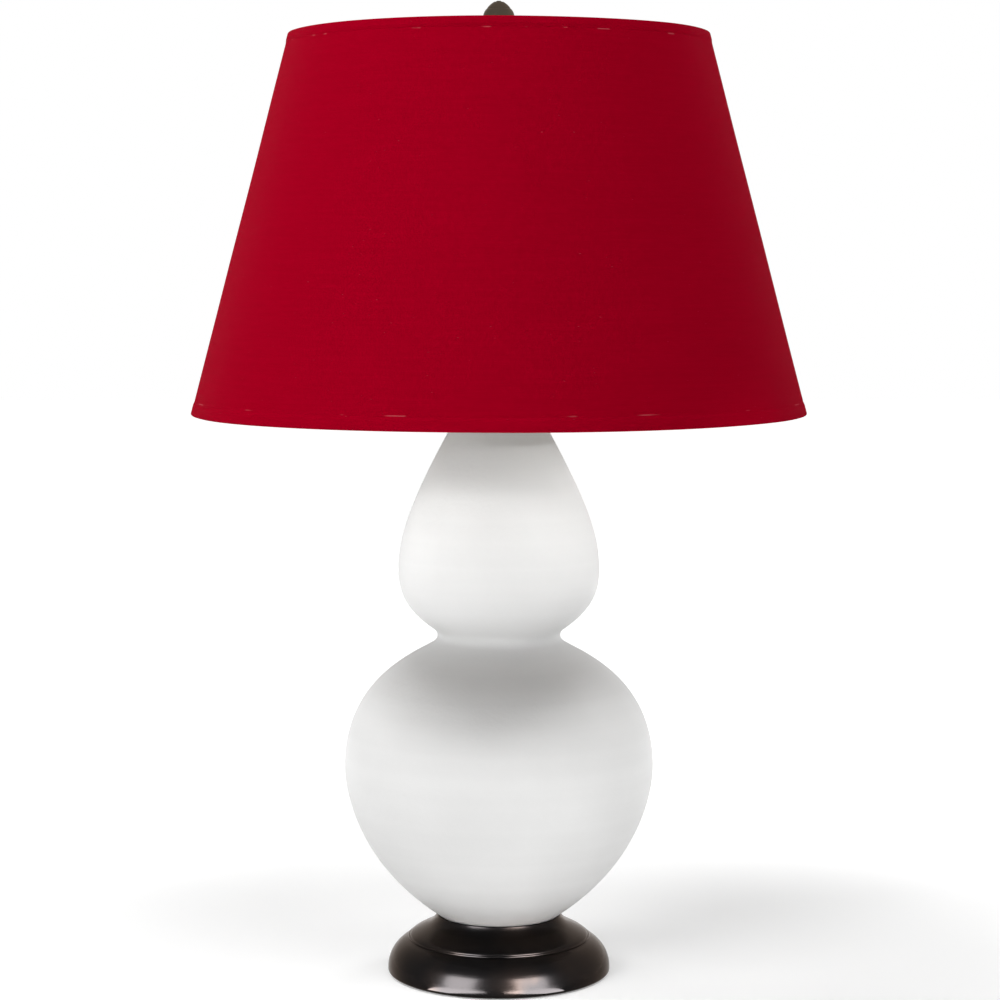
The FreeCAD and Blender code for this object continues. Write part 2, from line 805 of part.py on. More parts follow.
def bulb_globe():
    return globe(0, 0).cut(globe(bulb_glass, 2 * hidden_steps))


# ================================================================ shade

shade_run = shade_bottom_radius - shade_top_radius
shade_fall = shade_top_height - shade_bottom_height
slant = math.hypot(shade_run, shade_fall)
skin = tape_thick + cloth_thick + lining_thick
ring_depth = skin + ring_radius
ring_drop = tape_thick + ring_radius


def on_shade(depth, along, from_top=True):
    """(radius, height) at a depth under the shade's outside and a distance along it from one edge."""
    share = (along if from_top else slant - along) / slant
    return (shade_top_radius + shade_run * share - shade_fall / slant * depth,
            shade_top_height - shade_fall * share - shade_run / slant * depth)


def shade_layer(outer, inner):
    """A cone between two depths, from the fold of one hem to the fold of the other."""
    o = Outline(*on_shade(outer, tape_thick))
    o.line(*on_shade(outer, tape_thick, False)).line(*on_shade(inner, tape_thick, False))
    o.line(*on_shade(inner, tape_thick))
    return o.turned()


def shade_cloth():
    return shade_layer(tape_thick, tape_thick + cloth_thick)


def shade_lining():
    return shade_layer(tape_thick + cloth_thick, skin)


def hem(width, from_top):
    """A tape folded over one edge: up the outside, over the ring and back to the lining."""
    back = skin + 2 * ring_radius
    turn_back = tape_thick + 2 * ring_radius
    inner = [(tape_thick, width), (tape_thick, tape_thick), (back, tape_thick), (back, turn_back),
             (skin, turn_back + hem_gather), (skin, hem_return)]
    outer = [(0, width), (0, 0), (back + tape_thick, 0), (back + tape_thick, turn_back + hem_ease),
             (skin + tape_thick, turn_back + hem_gather + hem_ease), (skin + tape_thick, hem_return)]
    points = [on_shade(depth, along, from_top) for depth, along in outer + inner[::-1]]
    o = Outline(*points[0])
    for point in points[1:]:
        o.line(*point)
    return o.turned()


def shade_ring(from_top):
    """A ring of wire, drawn with flats: it lies in the fold of the hem."""
    centre = on_shade(ring_depth, ring_drop, from_top)
    lean = math.degrees(math.atan2(shade_run, shade_fall))
    reach = ring_radius / math.cos(math.pi / ring_flats)
    o = Outline(*polar(reach, lean + 180 / ring_flats, centre))
    for n in range(1, ring_flats):
        o.line(*polar(reach, lean + 180 * (2 * n + 1) / ring_flats, centre))
    return o.turned()


def spider_arm(n, radius):
    """One arm, from the washer to the middle of the top ring's wire."""
    r, z = on_shade(ring_depth, ring_drop)
    turn = spider_turn + 360 * n / spider_arms
    near = V(*polar(arm_root, turn), washer_seat + arm_radius)
    return rod(near, V(*polar(r, turn), z), radius)


def shade_spider():
    """The top ring with its arms and the washer that sits on the swivel."""
    spider = shade_ring(True).fuse(disc(shade_washer_radius, washer_seat, shade_washer_thick))
    for n in range(spider_arms):
        spider = spider.fuse(spider_arm(n, arm_radius))
    return spider.cut(disc(stud_seat_radius + slip, washer_seat, 2 * arm_radius))


def shade_top_hem():
    """The top hem, slit where the arms pass out of its fold."""
    solid = hem(top_hem, True)
    for n in range(spider_arms):
        solid = solid.cut(spider_arm(n, arm_radius + slip))
    return solid


# ================================================================ finial


def finial():
    """A turned knob on a drawn-in neck, with a groove round it and a nub on top."""
    neck = finial_level + finial_seat_height
    knob = neck + finial_neck_height
    wide = knob + finial_knob_under
    groove = wide + finial_knob_over
    crown = groove + finial_groove_width
    top = finial_level + finial_height
    o = Outline(0, finial_level)
    o.line(finial_seat_radius, finial_level).line(finial_seat_radius, neck)
    o.line(finial_seat_radius - finial_neck_hollow, neck)
    o.arc(finial_neck_radius, knob, 180 - finial_neck_draw)
    o.arc(finial_knob_radius, wide, finial_under_slope)
    o.arc(finial_groove_radius + finial_lip, groove, 90)
    o.line(finial_groove_radius, groove).line(finial_groove_radius, crown)
    o.arc(finial_crown_radius, top - finial_nub_height, finial_crown_slope)
    o.line(finial_nub_radius, top - finial_nub_height)
    o.line(finial_nub_radius, top).line(0, top)
    return o.turned().cut(disc(stud_radius + slip, finial_level, finial_bore_depth))


# ================================================================ parts

PIECES = {
    "felt_pad": felt_pad, "bottom_board": bottom_board, "pedestal_base": pedestal_base,
    "cord_bushing": cord_bushing, "ballast_disc": ballast_disc, "bottom_washer": bottom_washer,
    "bottom_nut": bottom_nut, "lamp_pipe": lamp_pipe, "foot_gasket": foot_gasket,
    "gourd_body": gourd_body, "neck_seal": neck_seal, "vase_cap": vase_cap,
    "neck_spacer": neck_spacer, "harp_saddle": harp_saddle, "locknut": locknut,
    "harp_wire": harp_wire, "harp_ferrule_left": lambda: harp_ferrule(-1),
    "harp_ferrule_right": lambda: harp_ferrule(1), "swivel_stud": swivel_stud,
    "socket_cap": socket_cap, "socket_set_screw": set_screw, "socket_shell": socket_shell,
    "socket_liner": socket_liner, "switch_block": switch_block, "terminal_screws": terminal_screws,
    "centre_contact": centre_contact, "screw_shell": screw_shell, "switch_stem": switch_stem,
    "switch_knob": switch_knob, "bulb_screw_cap": bulb_screw_cap, "bulb_globe": bulb_globe,
    "shade_cloth": shade_cloth, "shade_lining": shade_lining,
    "shade_top_hem": shade_top_hem, "shade_bottom_hem": lambda: hem(bottom_hem, False),
    "shade_spider": shade_spider, "shade_bottom_ring": lambda: shade_ring(False),
    "finial": finial,
}


def main():
    os.makedirs("parts", exist_ok=True)
    for name, make in PIECES.items():
        shape = make()
        solids = shape.Solids
        if not solids or not all(solid.isValid() for solid in solids):
            raise ValueError(f"{name} is not a valid solid")
        piece = solids[0] if len(solids) == 1 else Part.makeCompound(solids)
        piece.exportStep(f"parts/{name}.step")
        box = piece.optimalBoundingBox()
        print(f"{name:20s} solids {len(solids)}  volume {piece.Volume / 1000:8.2f} cm3  "
              f"x {box.XMin:7.2f} to {box.XMax:7.2f}  z {box.ZMin:7.2f} to {box.ZMax:7.2f}")


main()
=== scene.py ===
"""The looks of a double-gourd table lamp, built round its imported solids.

Outlines are (radius, height) in millimetres and are turned about a piece's axis; Blender gets metres.
The front is -Y.  The seam of the shade and the cord inlet are at the back.
"""
import math

import bmesh
import bpy
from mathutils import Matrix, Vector, noise


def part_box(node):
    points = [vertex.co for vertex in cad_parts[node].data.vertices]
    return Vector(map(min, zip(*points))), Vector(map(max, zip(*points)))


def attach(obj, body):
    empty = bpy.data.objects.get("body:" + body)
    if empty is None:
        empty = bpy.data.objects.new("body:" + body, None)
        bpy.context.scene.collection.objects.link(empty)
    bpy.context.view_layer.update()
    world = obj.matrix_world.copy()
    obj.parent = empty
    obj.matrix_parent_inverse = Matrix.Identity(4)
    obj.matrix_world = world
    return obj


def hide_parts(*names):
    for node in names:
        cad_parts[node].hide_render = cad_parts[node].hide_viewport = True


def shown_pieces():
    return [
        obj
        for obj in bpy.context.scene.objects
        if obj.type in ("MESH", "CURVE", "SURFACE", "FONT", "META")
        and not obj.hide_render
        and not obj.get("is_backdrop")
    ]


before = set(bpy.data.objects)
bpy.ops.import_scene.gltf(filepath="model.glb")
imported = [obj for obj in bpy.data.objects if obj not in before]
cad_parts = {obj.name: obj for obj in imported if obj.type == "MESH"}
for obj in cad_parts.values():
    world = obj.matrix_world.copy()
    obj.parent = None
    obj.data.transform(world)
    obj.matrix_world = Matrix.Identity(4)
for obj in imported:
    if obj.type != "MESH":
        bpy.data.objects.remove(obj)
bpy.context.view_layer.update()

MM = 0.001
CREASE = math.radians(40)

CRIMSON = (0.36, 0.0, 0.0135)
CRIMSON_DEEP = (0.31, 0.0, 0.0105)
CRIMSON_PALE = (0.62, 0.12, 0.14)


# ================================================================ outlines


def low(node):
    """The height of a solid's lowest point."""
    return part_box(node)[0].z / MM


def high(node):
    """The height of a solid's highest point."""
    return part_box(node)[1].z / MM


def reach(node):
    """How far a solid reaches from the lamp's axis."""
    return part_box(node)[1].x / MM


def polar(radius, degrees, centre=(0.0, 0.0)):
    """The point at a distance and an angle from a centre."""
    a = math.radians(degrees)
    return centre[0] + radius * math.cos(a), centre[1] + radius * math.sin(a)


def share(value):
    """The value, kept between 0 and 1."""
    return min(1.0, max(0.0, value))


def raised(level, *corners):
    """Corners that are given by their rise over a level."""
    return [(r, level + rise, *size) for r, rise, *size in corners]


def arc(centre, radius, start, end, steps):
    """Points of an arc, both ends included; degrees from outwards to up."""
    return [polar(radius, start + (end - start) * n / steps, centre) for n in range(steps + 1)]


def swept(start, leaving, end, steps):
    """Points of the arc that leaves `start` in the direction `leaving` and passes through `end`."""
    dx, dz = end[0] - start[0], end[1] - start[1]
    turn = 2 * math.remainder(math.atan2(dz, dx) - math.radians(leaving), 2 * math.pi)
    points, here = [start], start
    side = math.hypot(dx, dz) * math.sin(turn / 2 / steps) / math.sin(turn / 2)
    for n in range(steps):
        here = polar(side, leaving + math.degrees(turn) * (n + 0.5) / steps, here)
        points.append(here)
    return points


def curve(start, first, second, end, steps):
    """Points of a cubic curve with two handles, its start left out."""
    points = []
    for n in range(1, steps + 1):
        t = n / steps
        weights = (1 - t) ** 3, 3 * t * (1 - t) ** 2, 3 * t * t * (1 - t), t ** 3
        points.append(tuple(sum(w * p[k] for w, p in zip(weights, (start, first, second, end)))
                            for k in (0, 1)))
    return points


def rounded(corners, steps=4):
    """An outline whose corners, given as (r, z, radius), are rounded; (r, z) stays sharp."""
    points = []
    for n, corner in enumerate(corners):
        here = Vector(corner[:2])
        size = corner[2] if len(corner) > 2 else 0
        if not size:
            points.append(tuple(here))
            continue
        before = Vector(corners[n - 1][:2]) - here
        after = Vector(corners[(n + 1) % len(corners)][:2]) - here
        cut = min(size / math.tan(before.angle(after) / 2), before.length * 0.49, after.length * 0.49)
        start, end = here + before.normalized() * cut, here + after.normalized() * cut
        for k in range(steps + 1):
            t = k / steps
            points.append(tuple(start * (1 - t) ** 2 + here * 2 * t * (1 - t) + end * t * t))
    return points


def inset(points, depth):
    """The outline moved in by a wall's thickness."""
    inner = []
    for n, (r, z) in enumerate(points):
        (r0, z0), (r1, z1) = points[max(n - 1, 0)], points[min(n + 1, len(points) - 1)]
        along = math.hypot(r1 - r0, z1 - z0)
        inner.append((r - (z1 - z0) / along * depth, z + (r1 - r0) / along * depth))
    return inner


# ================================================================ meshes


def smooth(mesh):
    """Smooth shading, creased at the sharp edges."""
    mesh.shade_smooth()
    mesh.set_sharp_from_angle(angle=CREASE)


def mesh_piece(name, points, faces):
    """A smooth piece from points in millimetres."""
    mesh = bpy.data.meshes.new(name)
    mesh.from_pydata([Vector(p) * MM for p in points], [], faces)
    made = bmesh.new()
    made.from_mesh(mesh)
    bmesh.ops.recalc_face_normals(made, faces=made.faces)
    made.to_mesh(mesh)
    made.free()
    smooth(mesh)
    obj = bpy.data.objects.new(name, mesh)
    bpy.context.scene.collection.objects.link(obj)
    return obj


def turned(name, outline, around=160, shape=None, span=360.0, start=0.0):
    """The outline turned about the lamp's axis; `shape` may move each (radius, height, degrees)."""
    points, rings, faces = [], [], []
    full = span == 360.0
    count = around if full else around + 1
    for r, z in outline:
        if r < 1e-6:
            rings.append([len(points)] * count)
            points.append((0, 0, z))
            continue
        rings.append(list(range(len(points), len(points) + count)))
        for n in range(count):
            degrees = start + span * n / around
            rr, zz = shape(r, z, degrees) if shape else (r, z)
            points.append((*polar(rr, degrees), zz))
    closed = outline[0][0] > 1e-6
    for n in range(len(rings) if closed else len(rings) - 1):
        a, b = rings[n], rings[(n + 1) % len(rings)]
        for k in range(around):
            m = (k + 1) % count
            corners = list(dict.fromkeys((a[k], a[m], b[m], b[k])))
            if len(corners) > 2:
                faces.append(corners)
    if not full:
        faces += [[ring[0] for ring in rings], [ring[-1] for ring in rings]]
    return mesh_piece(name, points, faces)


def washer(name, inner, outer, bottom, top, inner_edge, outer_edge, around=160):
    """A flat ring with rounded edges."""
    return turned(name, rounded([(inner, bottom, inner_edge), (outer, bottom, outer_edge),
                                 (outer, top, outer_edge), (inner, top, inner_edge)]), around)


def sectioned(name, points, sides, closed=False):
    """A piece whose cross-sections, of `sides` points each, follow one another."""
    count = len(points) // sides
    faces = []
    for n in range(count if closed else count - 1):
        m = (n + 1) % count
        for k in range(sides):
            j = (k + 1) % sides
            faces.append([n * sides + k, n * sides + j, m * sides + j, m * sides + k])
    if not closed:
        faces += [list(range(sides)), list(range(len(points) - sides, len(points)))]
    return mesh_piece(name, points, faces)


def rod(name, path, radius, closed=False, sides=14):
    """A round bar along a path of points in millimetres."""
    path = [Vector(p) for p in path]
    last = len(path) - 1
    points, up = [], None
    for n, here in enumerate(path):
        before = path[n - 1] if n or closed else here
        after = path[(n + 1) % len(path)] if n < last or closed else here
        along = (after - before).normalized()
        up = along.orthogonal() if up is None else up - along * up.dot(along)
        up.normalize()
        side = along.cross(up)
        for k in range(sides):
            a = 2 * math.pi * k / sides
            points.append(here + up * (radius * math.cos(a)) + side * (radius * math.sin(a)))
    return sectioned(name, points, sides, closed)


def moved(obj, offset, forward=None):
    """A turned piece taken to its place: its axis laid along `forward`, then moved, in millimetres."""
    if forward:
        obj.data.transform(Vector(forward).to_track_quat("Z", "Y").to_matrix().to_4x4())
    for vertex in obj.data.vertices:
        vertex.co += Vector(offset) * MM
    return obj


def drilled(obj, radius, length, start, forward=None, around=48):
    """The piece with a round hole in it, from `start` on, upwards or along `forward`."""
    bit = turned("hole", [(0, 0), (radius, 0), (radius, length), (0, length)], around)
    cut = obj.modifiers.new("cut", "BOOLEAN")
    cut.object = moved(bit, start, forward)
    cut.solver = "EXACT"
    settled = obj.evaluated_get(bpy.context.evaluated_depsgraph_get())
    mesh = bpy.data.meshes.new_from_object(settled)
    obj.modifiers.clear()
    obj.data = mesh
    smooth(mesh)
    bpy.data.objects.remove(bit)
    return obj


# ================================================================ finishes


class Value:
    """A number, colour or vector that changes over a surface; arithmetic on numbers adds Math nodes."""

    def __init__(self, finish, socket):
        self.finish, self.socket = finish, socket

    def maths(self, operation, *values):
        return self.finish.node("ShaderNodeMath", {"operation": operation}, values)

    def __add__(self, other):
        return self.maths("ADD", self, other)

    def __sub__(self, other):
        return self.maths("SUBTRACT", self, other)

    def __rsub__(self, other):
        return self.maths("SUBTRACT", other, self)

    def __mul__(self, other):
        return self.maths("MULTIPLY", self, other)

    def __pow__(self, other):
        return self.maths("POWER", self, other)

    __radd__ = __add__
    __rmul__ = __mul__

    def wave(self, length):
        """A sine of this wavelength, from -1 to 1."""
        return self.maths("SINE", self * (2 * math.pi / length))

    def off(self, middle):
        """The distance from a value."""
        return self.maths("ABSOLUTE", self - middle)

    def between(self, start, end):
        """0 at `start`, 1 at `end`, smooth between them."""
        return self.finish.node("ShaderNodeMapRange", {"interpolation_type": "SMOOTHSTEP"},
                                {"Value": self, "From Min": start, "From Max": end})


class Shading:
    """A node tree to which nodes are added one by one."""

    def __init__(self, tree):
        self.tree = tree

    def node(self, kind, settings=None, inputs=(), output=0):
        """One node: its settings first, then the values or links of its sockets."""
        made = self.tree.nodes.new(kind)
        for key, value in (settings or {}).items():
            setattr(made, key, value)
        for key, value in inputs.items() if isinstance(inputs, dict) else enumerate(inputs):
            if isinstance(value, Value):
                self.tree.links.new(value.socket, made.inputs[key])
            else:
                made.inputs[key].default_value = value
        return Value(self, made.outputs[output])

    def seen_directly(self):
        """1 where the camera, a reflection or a view through glass meets it, 0 for the light it gives."""
        camera, glossy, glass = (self.node("ShaderNodeLightPath", output=f"Is {way} Ray")
                                 for way in ("Camera", "Glossy", "Transmission"))
        return (camera + glossy + glass).between(0.0, 1.0)


class Finish(Shading):
    """A material and its surface shader."""

    def __init__(self, name, **fixed):
        self.material = bpy.data.materials.new(name)
        self.material.use_nodes = True
        super().__init__(self.material.node_tree)
        self.surface = self.tree.nodes["Principled BSDF"]
        self.set(**fixed)
        self.place = self.node("ShaderNodeTexCoord", output="Object")
        parts = self.node("ShaderNodeSeparateXYZ", inputs=[self.place]).socket.node.outputs
        self.x, self.y, self.z = (Value(self, socket) for socket in parts)
        self.radius = (self.x * self.x + self.y * self.y) ** 0.5
        self.around = self.x.maths("ARCTAN2", self.x, self.y * -1.0)

    def set(self, **sockets):
        """Set or link the surface's sockets, their spaces written as underscores."""
        for key, value in sockets.items():
            socket = self.surface.inputs[key.replace("_", " ")]
            if isinstance(value, Value):
                self.tree.links.new(value.socket, socket)
            elif isinstance(value, tuple):
                socket.default_value = (*value, 1.0)
            else:
                socket.default_value = value
        return self

    def vector(self, x, y):
        return self.node("ShaderNodeCombineXYZ", inputs=[x, y, 0.0])

    def noise(self, at, scale, detail=2.0, rough=0.5):
        """Noise from 0 to 1 at a vector; the scale is in features per metre of it."""
        return self.node("ShaderNodeTexNoise", inputs={
            "Vector": at, "Scale": scale, "Detail": detail, "Roughness": rough})

    def streaks(self, across, up, detail=2.0, rough=0.5):
        """Noise from 0 to 1 over two coordinates that are already scaled to its features."""
        return self.noise(self.vector(across, up), 1.0, detail, rough)

    def rings(self, fineness):
        """Turning lines: noise that is the same all the way round the axis."""
        return self.streaks(self.radius * fineness, self.z * fineness)

    def mix(self, amount, first, second):
        """From the first colour to the second."""
        first, second = ((*c, 1.0) if isinstance(c, tuple) else c for c in (first, second))
        return self.node("ShaderNodeMix", {"data_type": "RGBA"}, {0: amount, 6: first, 7: second}, 2)

    def bump(self, height, depth):
        """Relief: a height from 0 to 1 that stands for a depth in metres."""
        return self.set(Normal=self.node("ShaderNodeBump", inputs={
            "Height": height, "Distance": depth, "Strength": 1.0}))


def cloth_finish(name, edges=()):
    """Crimson cloth with slubs along the weft; `edges` are (height, spread) of tape edges, dashed with pale
    frayed threads and painted glints.
    """
    warp, weft = 0.00055, 0.0005
    mean_radius = 0.2
    cloth = Finish(name, Sheen_Weight=0.05, Sheen_Roughness=0.25, Sheen_Tint=(1.0, 0.7, 0.75),
                   Specular_IOR_Level=0.0)
    along = cloth.around * mean_radius
    slub = cloth.streaks(along * 60.0, cloth.z * 1500.0, 3.0, 0.6)
    long_slub = cloth.streaks(along * 14.0, cloth.z * 420.0)
    speck = cloth.streaks(along * 260.0, cloth.z * 900.0, 1.0).between(0.74, 0.82)
    weave = along.wave(warp) * cloth.z.wave(weft)
    cloudy = cloth.noise(cloth.place, 7.0, 3.0)
    tone = slub.between(0.3, 0.75) * 0.5 + long_slub.between(0.35, 0.7) * 0.3 + cloudy * 0.2
    colour = cloth.mix(tone, CRIMSON_DEEP, CRIMSON)
    colour = cloth.mix(speck * 0.28, colour, CRIMSON_PALE)
    # pale dashes along each tape edge: frayed threads, partly a painted highlight where they catch the light
    for height, spread in edges:
        frayed_glint = cloth.streaks(along * 38.0, height * 3.0).between(0.56, 0.64)
        line = 1.0 - cloth.z.off(height * MM).between(0.0, spread * MM)
        colour = cloth.mix(line * frayed_glint * 0.5, colour, CRIMSON_PALE)
    cloth.set(Base_Color=colour, Roughness=0.78 + slub * 0.15)
    return cloth.bump(weave * 0.35 + slub * 0.5 + long_slub * 0.3, 0.00012)


def glaze_finish():
    """White satin glaze: even, a little deeper where it pooled, fine orange peel in its surface."""
    white, pooled, pinhole = (0.79, 0.79, 0.785), (0.745, 0.745, 0.74), (0.55, 0.54, 0.52)
    glaze = Finish("white_glaze", Specular_IOR_Level=0.12, Coat_Roughness=0.3, Coat_IOR=1.3)
    cloudy = glaze.noise(glaze.place, 9.0, 3.0)
    peel = glaze.noise(glaze.place, 260.0)
    pits = glaze.noise(glaze.place, 1700.0, 1.0).between(0.79, 0.86)
    throwing = glaze.streaks(glaze.radius * 0.2, glaze.z * 90.0)
    tone = cloudy.between(0.3, 0.7) * 0.7 + throwing.between(0.3, 0.7) * 0.3
    colour = glaze.mix(pits * 0.25, glaze.mix(tone, pooled, white), pinhole)
    glaze.set(Base_Color=colour, Roughness=0.40 + cloudy * 0.08, Coat_Weight=0.1 + cloudy * 0.1)
    return glaze.bump(peel * 0.6 + cloudy * 0.8 + throwing * 0.4, 0.00025)


def bronze_finish(name, dark, brown, olive, rough):
    """Patinated bronze under lacquer: near black, brown where it is rubbed, turning lines round it."""
    metal = Finish(name, Metallic=1.0, Coat_Roughness=0.12, Specular_Tint=(0.72, 0.66, 0.62), Coat_IOR=1.2)
    cloudy = metal.noise(metal.place, 22.0, 3.0)
    rub = metal.noise(metal.place, 75.0, 4.0, 0.6)
    lines, wide = metal.rings(2200.0), metal.rings(300.0)
    fleck = metal.noise(metal.place, 900.0).between(0.66, 0.76)
    colour = metal.mix(cloudy.between(0.42, 0.72) * 0.8, dark, brown)
    colour = metal.mix(wide.between(0.5, 0.8) * rub.between(0.4, 0.7) * 0.6, colour, olive)
    colour = metal.mix(fleck * 0.3, colour, brown)
    metal.set(Base_Color=colour, Roughness=rough + lines * 0.07 + rub * 0.05,
              Coat_Weight=0.04 + cloudy * 0.08)
    return metal.bump(lines * 0.5 + wide * 0.8 + rub * 0.3, 0.00004)


def metal_finish(name, colour, deep, rough, on_lathe=True):
    """Bright metal with turning or drawing lines and a little tarnish."""
    metal = Finish(name, Metallic=1.0)
    cloudy = metal.noise(metal.place, 60.0, 3.0, 0.6)
    lines = metal.rings(1800.0) if on_lathe else metal.noise(metal.place, 900.0)
    metal.set(Base_Color=metal.mix(cloudy.between(0.35, 0.75), colour, deep),
              Roughness=rough + lines * 0.12 + cloudy * 0.1)
    return metal.bump(lines + cloudy * 0.5, 0.00003)


def plain_finish(name, colour, second, rough, grain, depth, **fixed):
    """Moulded, pressed or felted stuff: two tones of grain and its relief."""
    stuff = Finish(name, **fixed)
    grains = stuff.noise(stuff.place, grain, 3.0, 0.6)
    cloudy = stuff.noise(stuff.place, 35.0)
    stuff.set(Base_Color=stuff.mix(grains.between(0.3, 0.7) * 0.6 + cloudy * 0.4, colour, second),
              Roughness=rough + grains * 0.1)
    return stuff.bump(grains, depth)


def glass_finish():
    """Frosted glass, milky and a little mottled."""
    glass = Finish("frosted_glass", Transmission_Weight=0.25, IOR=1.5, Specular_IOR_Level=0.45)
    mottle = glass.noise(glass.place, 60.0, 3.0)
    glass.set(Base_Color=glass.mix(mottle, (0.86, 0.86, 0.84), (0.93, 0.93, 0.92)),
              Roughness=0.3 + mottle * 0.12)
    return glass.bump(glass.noise(glass.place, 2400.0, 1.0), 0.00002)


felt = plain_finish("black_felt", (0.012, 0.012, 0.012), (0.035, 0.034, 0.033), 0.9, 2600.0, 0.0004,
                    Sheen_Weight=0.4, Sheen_Roughness=0.6)
board = plain_finish("pressed_board", (0.20, 0.13, 0.08), (0.30, 0.20, 0.12), 0.85, 900.0, 0.0002)
rubber = plain_finish("black_rubber", (0.018, 0.018, 0.018), (0.03, 0.03, 0.03), 0.7, 700.0, 0.0001)
moulding = plain_finish("black_moulding", (0.010, 0.010, 0.011), (0.018, 0.018, 0.019), 0.35, 1500.0, 0.00005)
fibre = plain_finish("liner_fibre", (0.28, 0.21, 0.13), (0.42, 0.34, 0.24), 0.8, 1200.0, 0.00006)
lining = plain_finish("white_lining", (0.72, 0.70, 0.66), (0.80, 0.79, 0.76), 0.5, 420.0, 0.00003)
iron = plain_finish("cast_iron", (0.03, 0.03, 0.03), (0.055, 0.05, 0.045), 0.7, 500.0, 0.0005, Metallic=0.8)
steel = metal_finish("plated_steel", (0.62, 0.62, 0.63), (0.45, 0.45, 0.46), 0.28)
ring_steel = metal_finish("ring_steel", (0.42, 0.41, 0.40), (0.25, 0.24, 0.23), 0.35, on_lathe=False)
brass = metal_finish("satin_brass", (0.62, 0.44, 0.18), (0.45, 0.30, 0.11), 0.30)
spun_brass = metal_finish("spun_brass", (0.60, 0.43, 0.19), (0.42, 0.29, 0.12), 0.26)
aluminium = metal_finish("drawn_aluminium", (0.78, 0.78, 0.79), (0.62, 0.62, 0.63), 0.25)
bronze = bronze_finish("dark_bronze", (0.0085, 0.0078, 0.0080), (0.019, 0.0140, 0.0120),
                       (0.0135, 0.0125, 0.0110), 0.17)
neck_bronze = bronze_finish("neck_bronze", (0.030, 0.025, 0.022), (0.06, 0.035, 0.025),
                            (0.055, 0.045, 0.03), 0.27)
finial_bronze = bronze_finish("finial_bronze", (0.075, 0.058, 0.042), (0.13, 0.095, 0.065),
                              (0.11, 0.095, 0.065), 0.33)
glaze = glaze_finish()
glass = glass_finish()


# ================================================================ placing


def use(obj, finish, body, slot, *nodes):
    """Give a piece its finish and its body, and hide the solids that it stands for; `slot` is not used."""
    obj.data.materials.clear()
    obj.data.materials.append(finish.material)
    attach(obj, body)
    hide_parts(*nodes)
    return obj


def dress(finish, *nodes):
    """Carry solids over as they are, with a better finish."""
    for node in nodes:
        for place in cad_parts[node].material_slots:
            place.material = finish.material


# ================================================================ pedestal

pipe_bore = 5.1
base_radius = reach("pedestal_base")
collar_top = high("pedestal_base")
rim_bottom = low("pedestal_base")
board_top = high("bottom_board")
web_bottom = high("ballast_disc")
cup_floor = low("foot_gasket")
cup_mouth, cup_side = 48.8, 44.3
collar_radius = 49.5
rim_round = 1.8
dome_foot = rim_bottom + 3.2
dome_top = (base_radius - 16.7, dome_foot + 24.0)
bead_size = 0.85
step_foot = (dome_top[0] - 0.8, dome_top[1] + 1.0)
step_crest = (step_foot[0], step_foot[1] + 0.7)
cove_foot = (step_foot[0] - 13.9, step_foot[1] + 9.2)
shoulder_slope, shoulder_pull = 28.0, 7.5
wall, rim_wall, board_seat = 2.8, 2.9, 6.2
inlet_bore, inlet_rise = 5.0, 6.5


def pedestal():
    """The turned pedestal: dome, thin bead, ogee and collar, and the hollow under them."""
    rim = arc((base_radius - rim_round, rim_bottom + rim_round), rim_round, -90, 0, 6)
    dome = swept((base_radius, dome_foot), 90, dome_top, 22)
    bead = arc((dome_top[0] - 0.3, dome_top[1] + bead_size), bead_size, -50, 75, 9) + [step_crest]
    shoulder = curve(step_crest, (step_crest[0] - 0.2, step_crest[1] + 2.2),
                     polar(shoulder_pull, -shoulder_slope, cove_foot), cove_foot, 22)
    cove = swept(cove_foot, 180 - shoulder_slope, (collar_radius, collar_top - 0.4), 16)
    collar = rounded([cove[-2], (collar_radius, collar_top, 0.35), (cup_mouth, collar_top, 0.25),
                      (cup_side, cup_floor + 3.0)], 3)[1:-1]
    cup = [(cup_side, cup_floor + 4.0), (cup_side, cup_floor), (pipe_bore, cup_floor)]
    hollow = [(pipe_bore, web_bottom), (cove_foot[0] - 2 * wall, web_bottom)]
    hollow += [point for point in inset(dome, wall)[::-3] if point[0] < base_radius - board_seat]
    hollow += [(base_radius - board_seat, board_top), (base_radius - rim_wall, board_top),
               (base_radius - rim_wall, rim_bottom)]
    made = turned("pedestal", rim + dome[:-1] + bead + shoulder + cove[1:] + collar + cup + hollow, 240)
    inlet = (0, base_radius - 14.0, low("cord_bushing") + inlet_rise)
    return drilled(made, inlet_bore, 20.0, inlet, (0, 1, 0))


def matted(r, z, degrees):
    """The felt's cut edge, a little uneven."""
    if r > 80:
        r += 0.12 * noise.noise(Vector((degrees * 0.6, z * 0.5, r * 0.02)))
    return r, z


def felt_pad():
    edge, thick = reach("felt_pad"), 2.0
    return turned("felt", rounded([(0, 0), (edge, 0, 0.3), (edge, thick, 0.5), (0, thick)]), 240, matted)


def gourd_ring():
    """The rubber ring in the cup, under the gourd's foot."""
    outer = reach("foot_gasket")
    return washer("gourd_ring", outer - 13, outer, cup_floor, cup_floor + 1.5, 0.3, 0.6)


use(pedestal(), bronze, "lamp_body", "bronze", "pedestal_base")
use(felt_pad(), felt, "lamp_body", "felt", "felt_pad")
use(gourd_ring(), rubber, "lamp_body", "rubber", "foot_gasket")
dress(board, "bottom_board")
dress(iron, "ballast_disc")
dress(steel, "bottom_washer", "bottom_nut", "lamp_pipe", "socket_set_screw")
dress(moulding, "cord_bushing", "switch_block")


# ================================================================ gourd

foot, lip = low("gourd_body"), high("gourd_body")
gourd_wall = 5.5
mouth_bore, sole_bore = 15.5, 8.0
foot_inner, foot_outer = 35.9, 43.9
flare, belly = (45.4, foot + 4.1), (122.8, 167.6)
groove, groove_round = (55.3, 271.5), 6.3
groove_under, groove_over = 47, 55
upper_belly, taper = (79.6, 322.2), (42.6, lip - 48.0)
taper_lean, neck_bend = 28.5, 28.0
neck_radius = reach("vase_cap") - 2.0


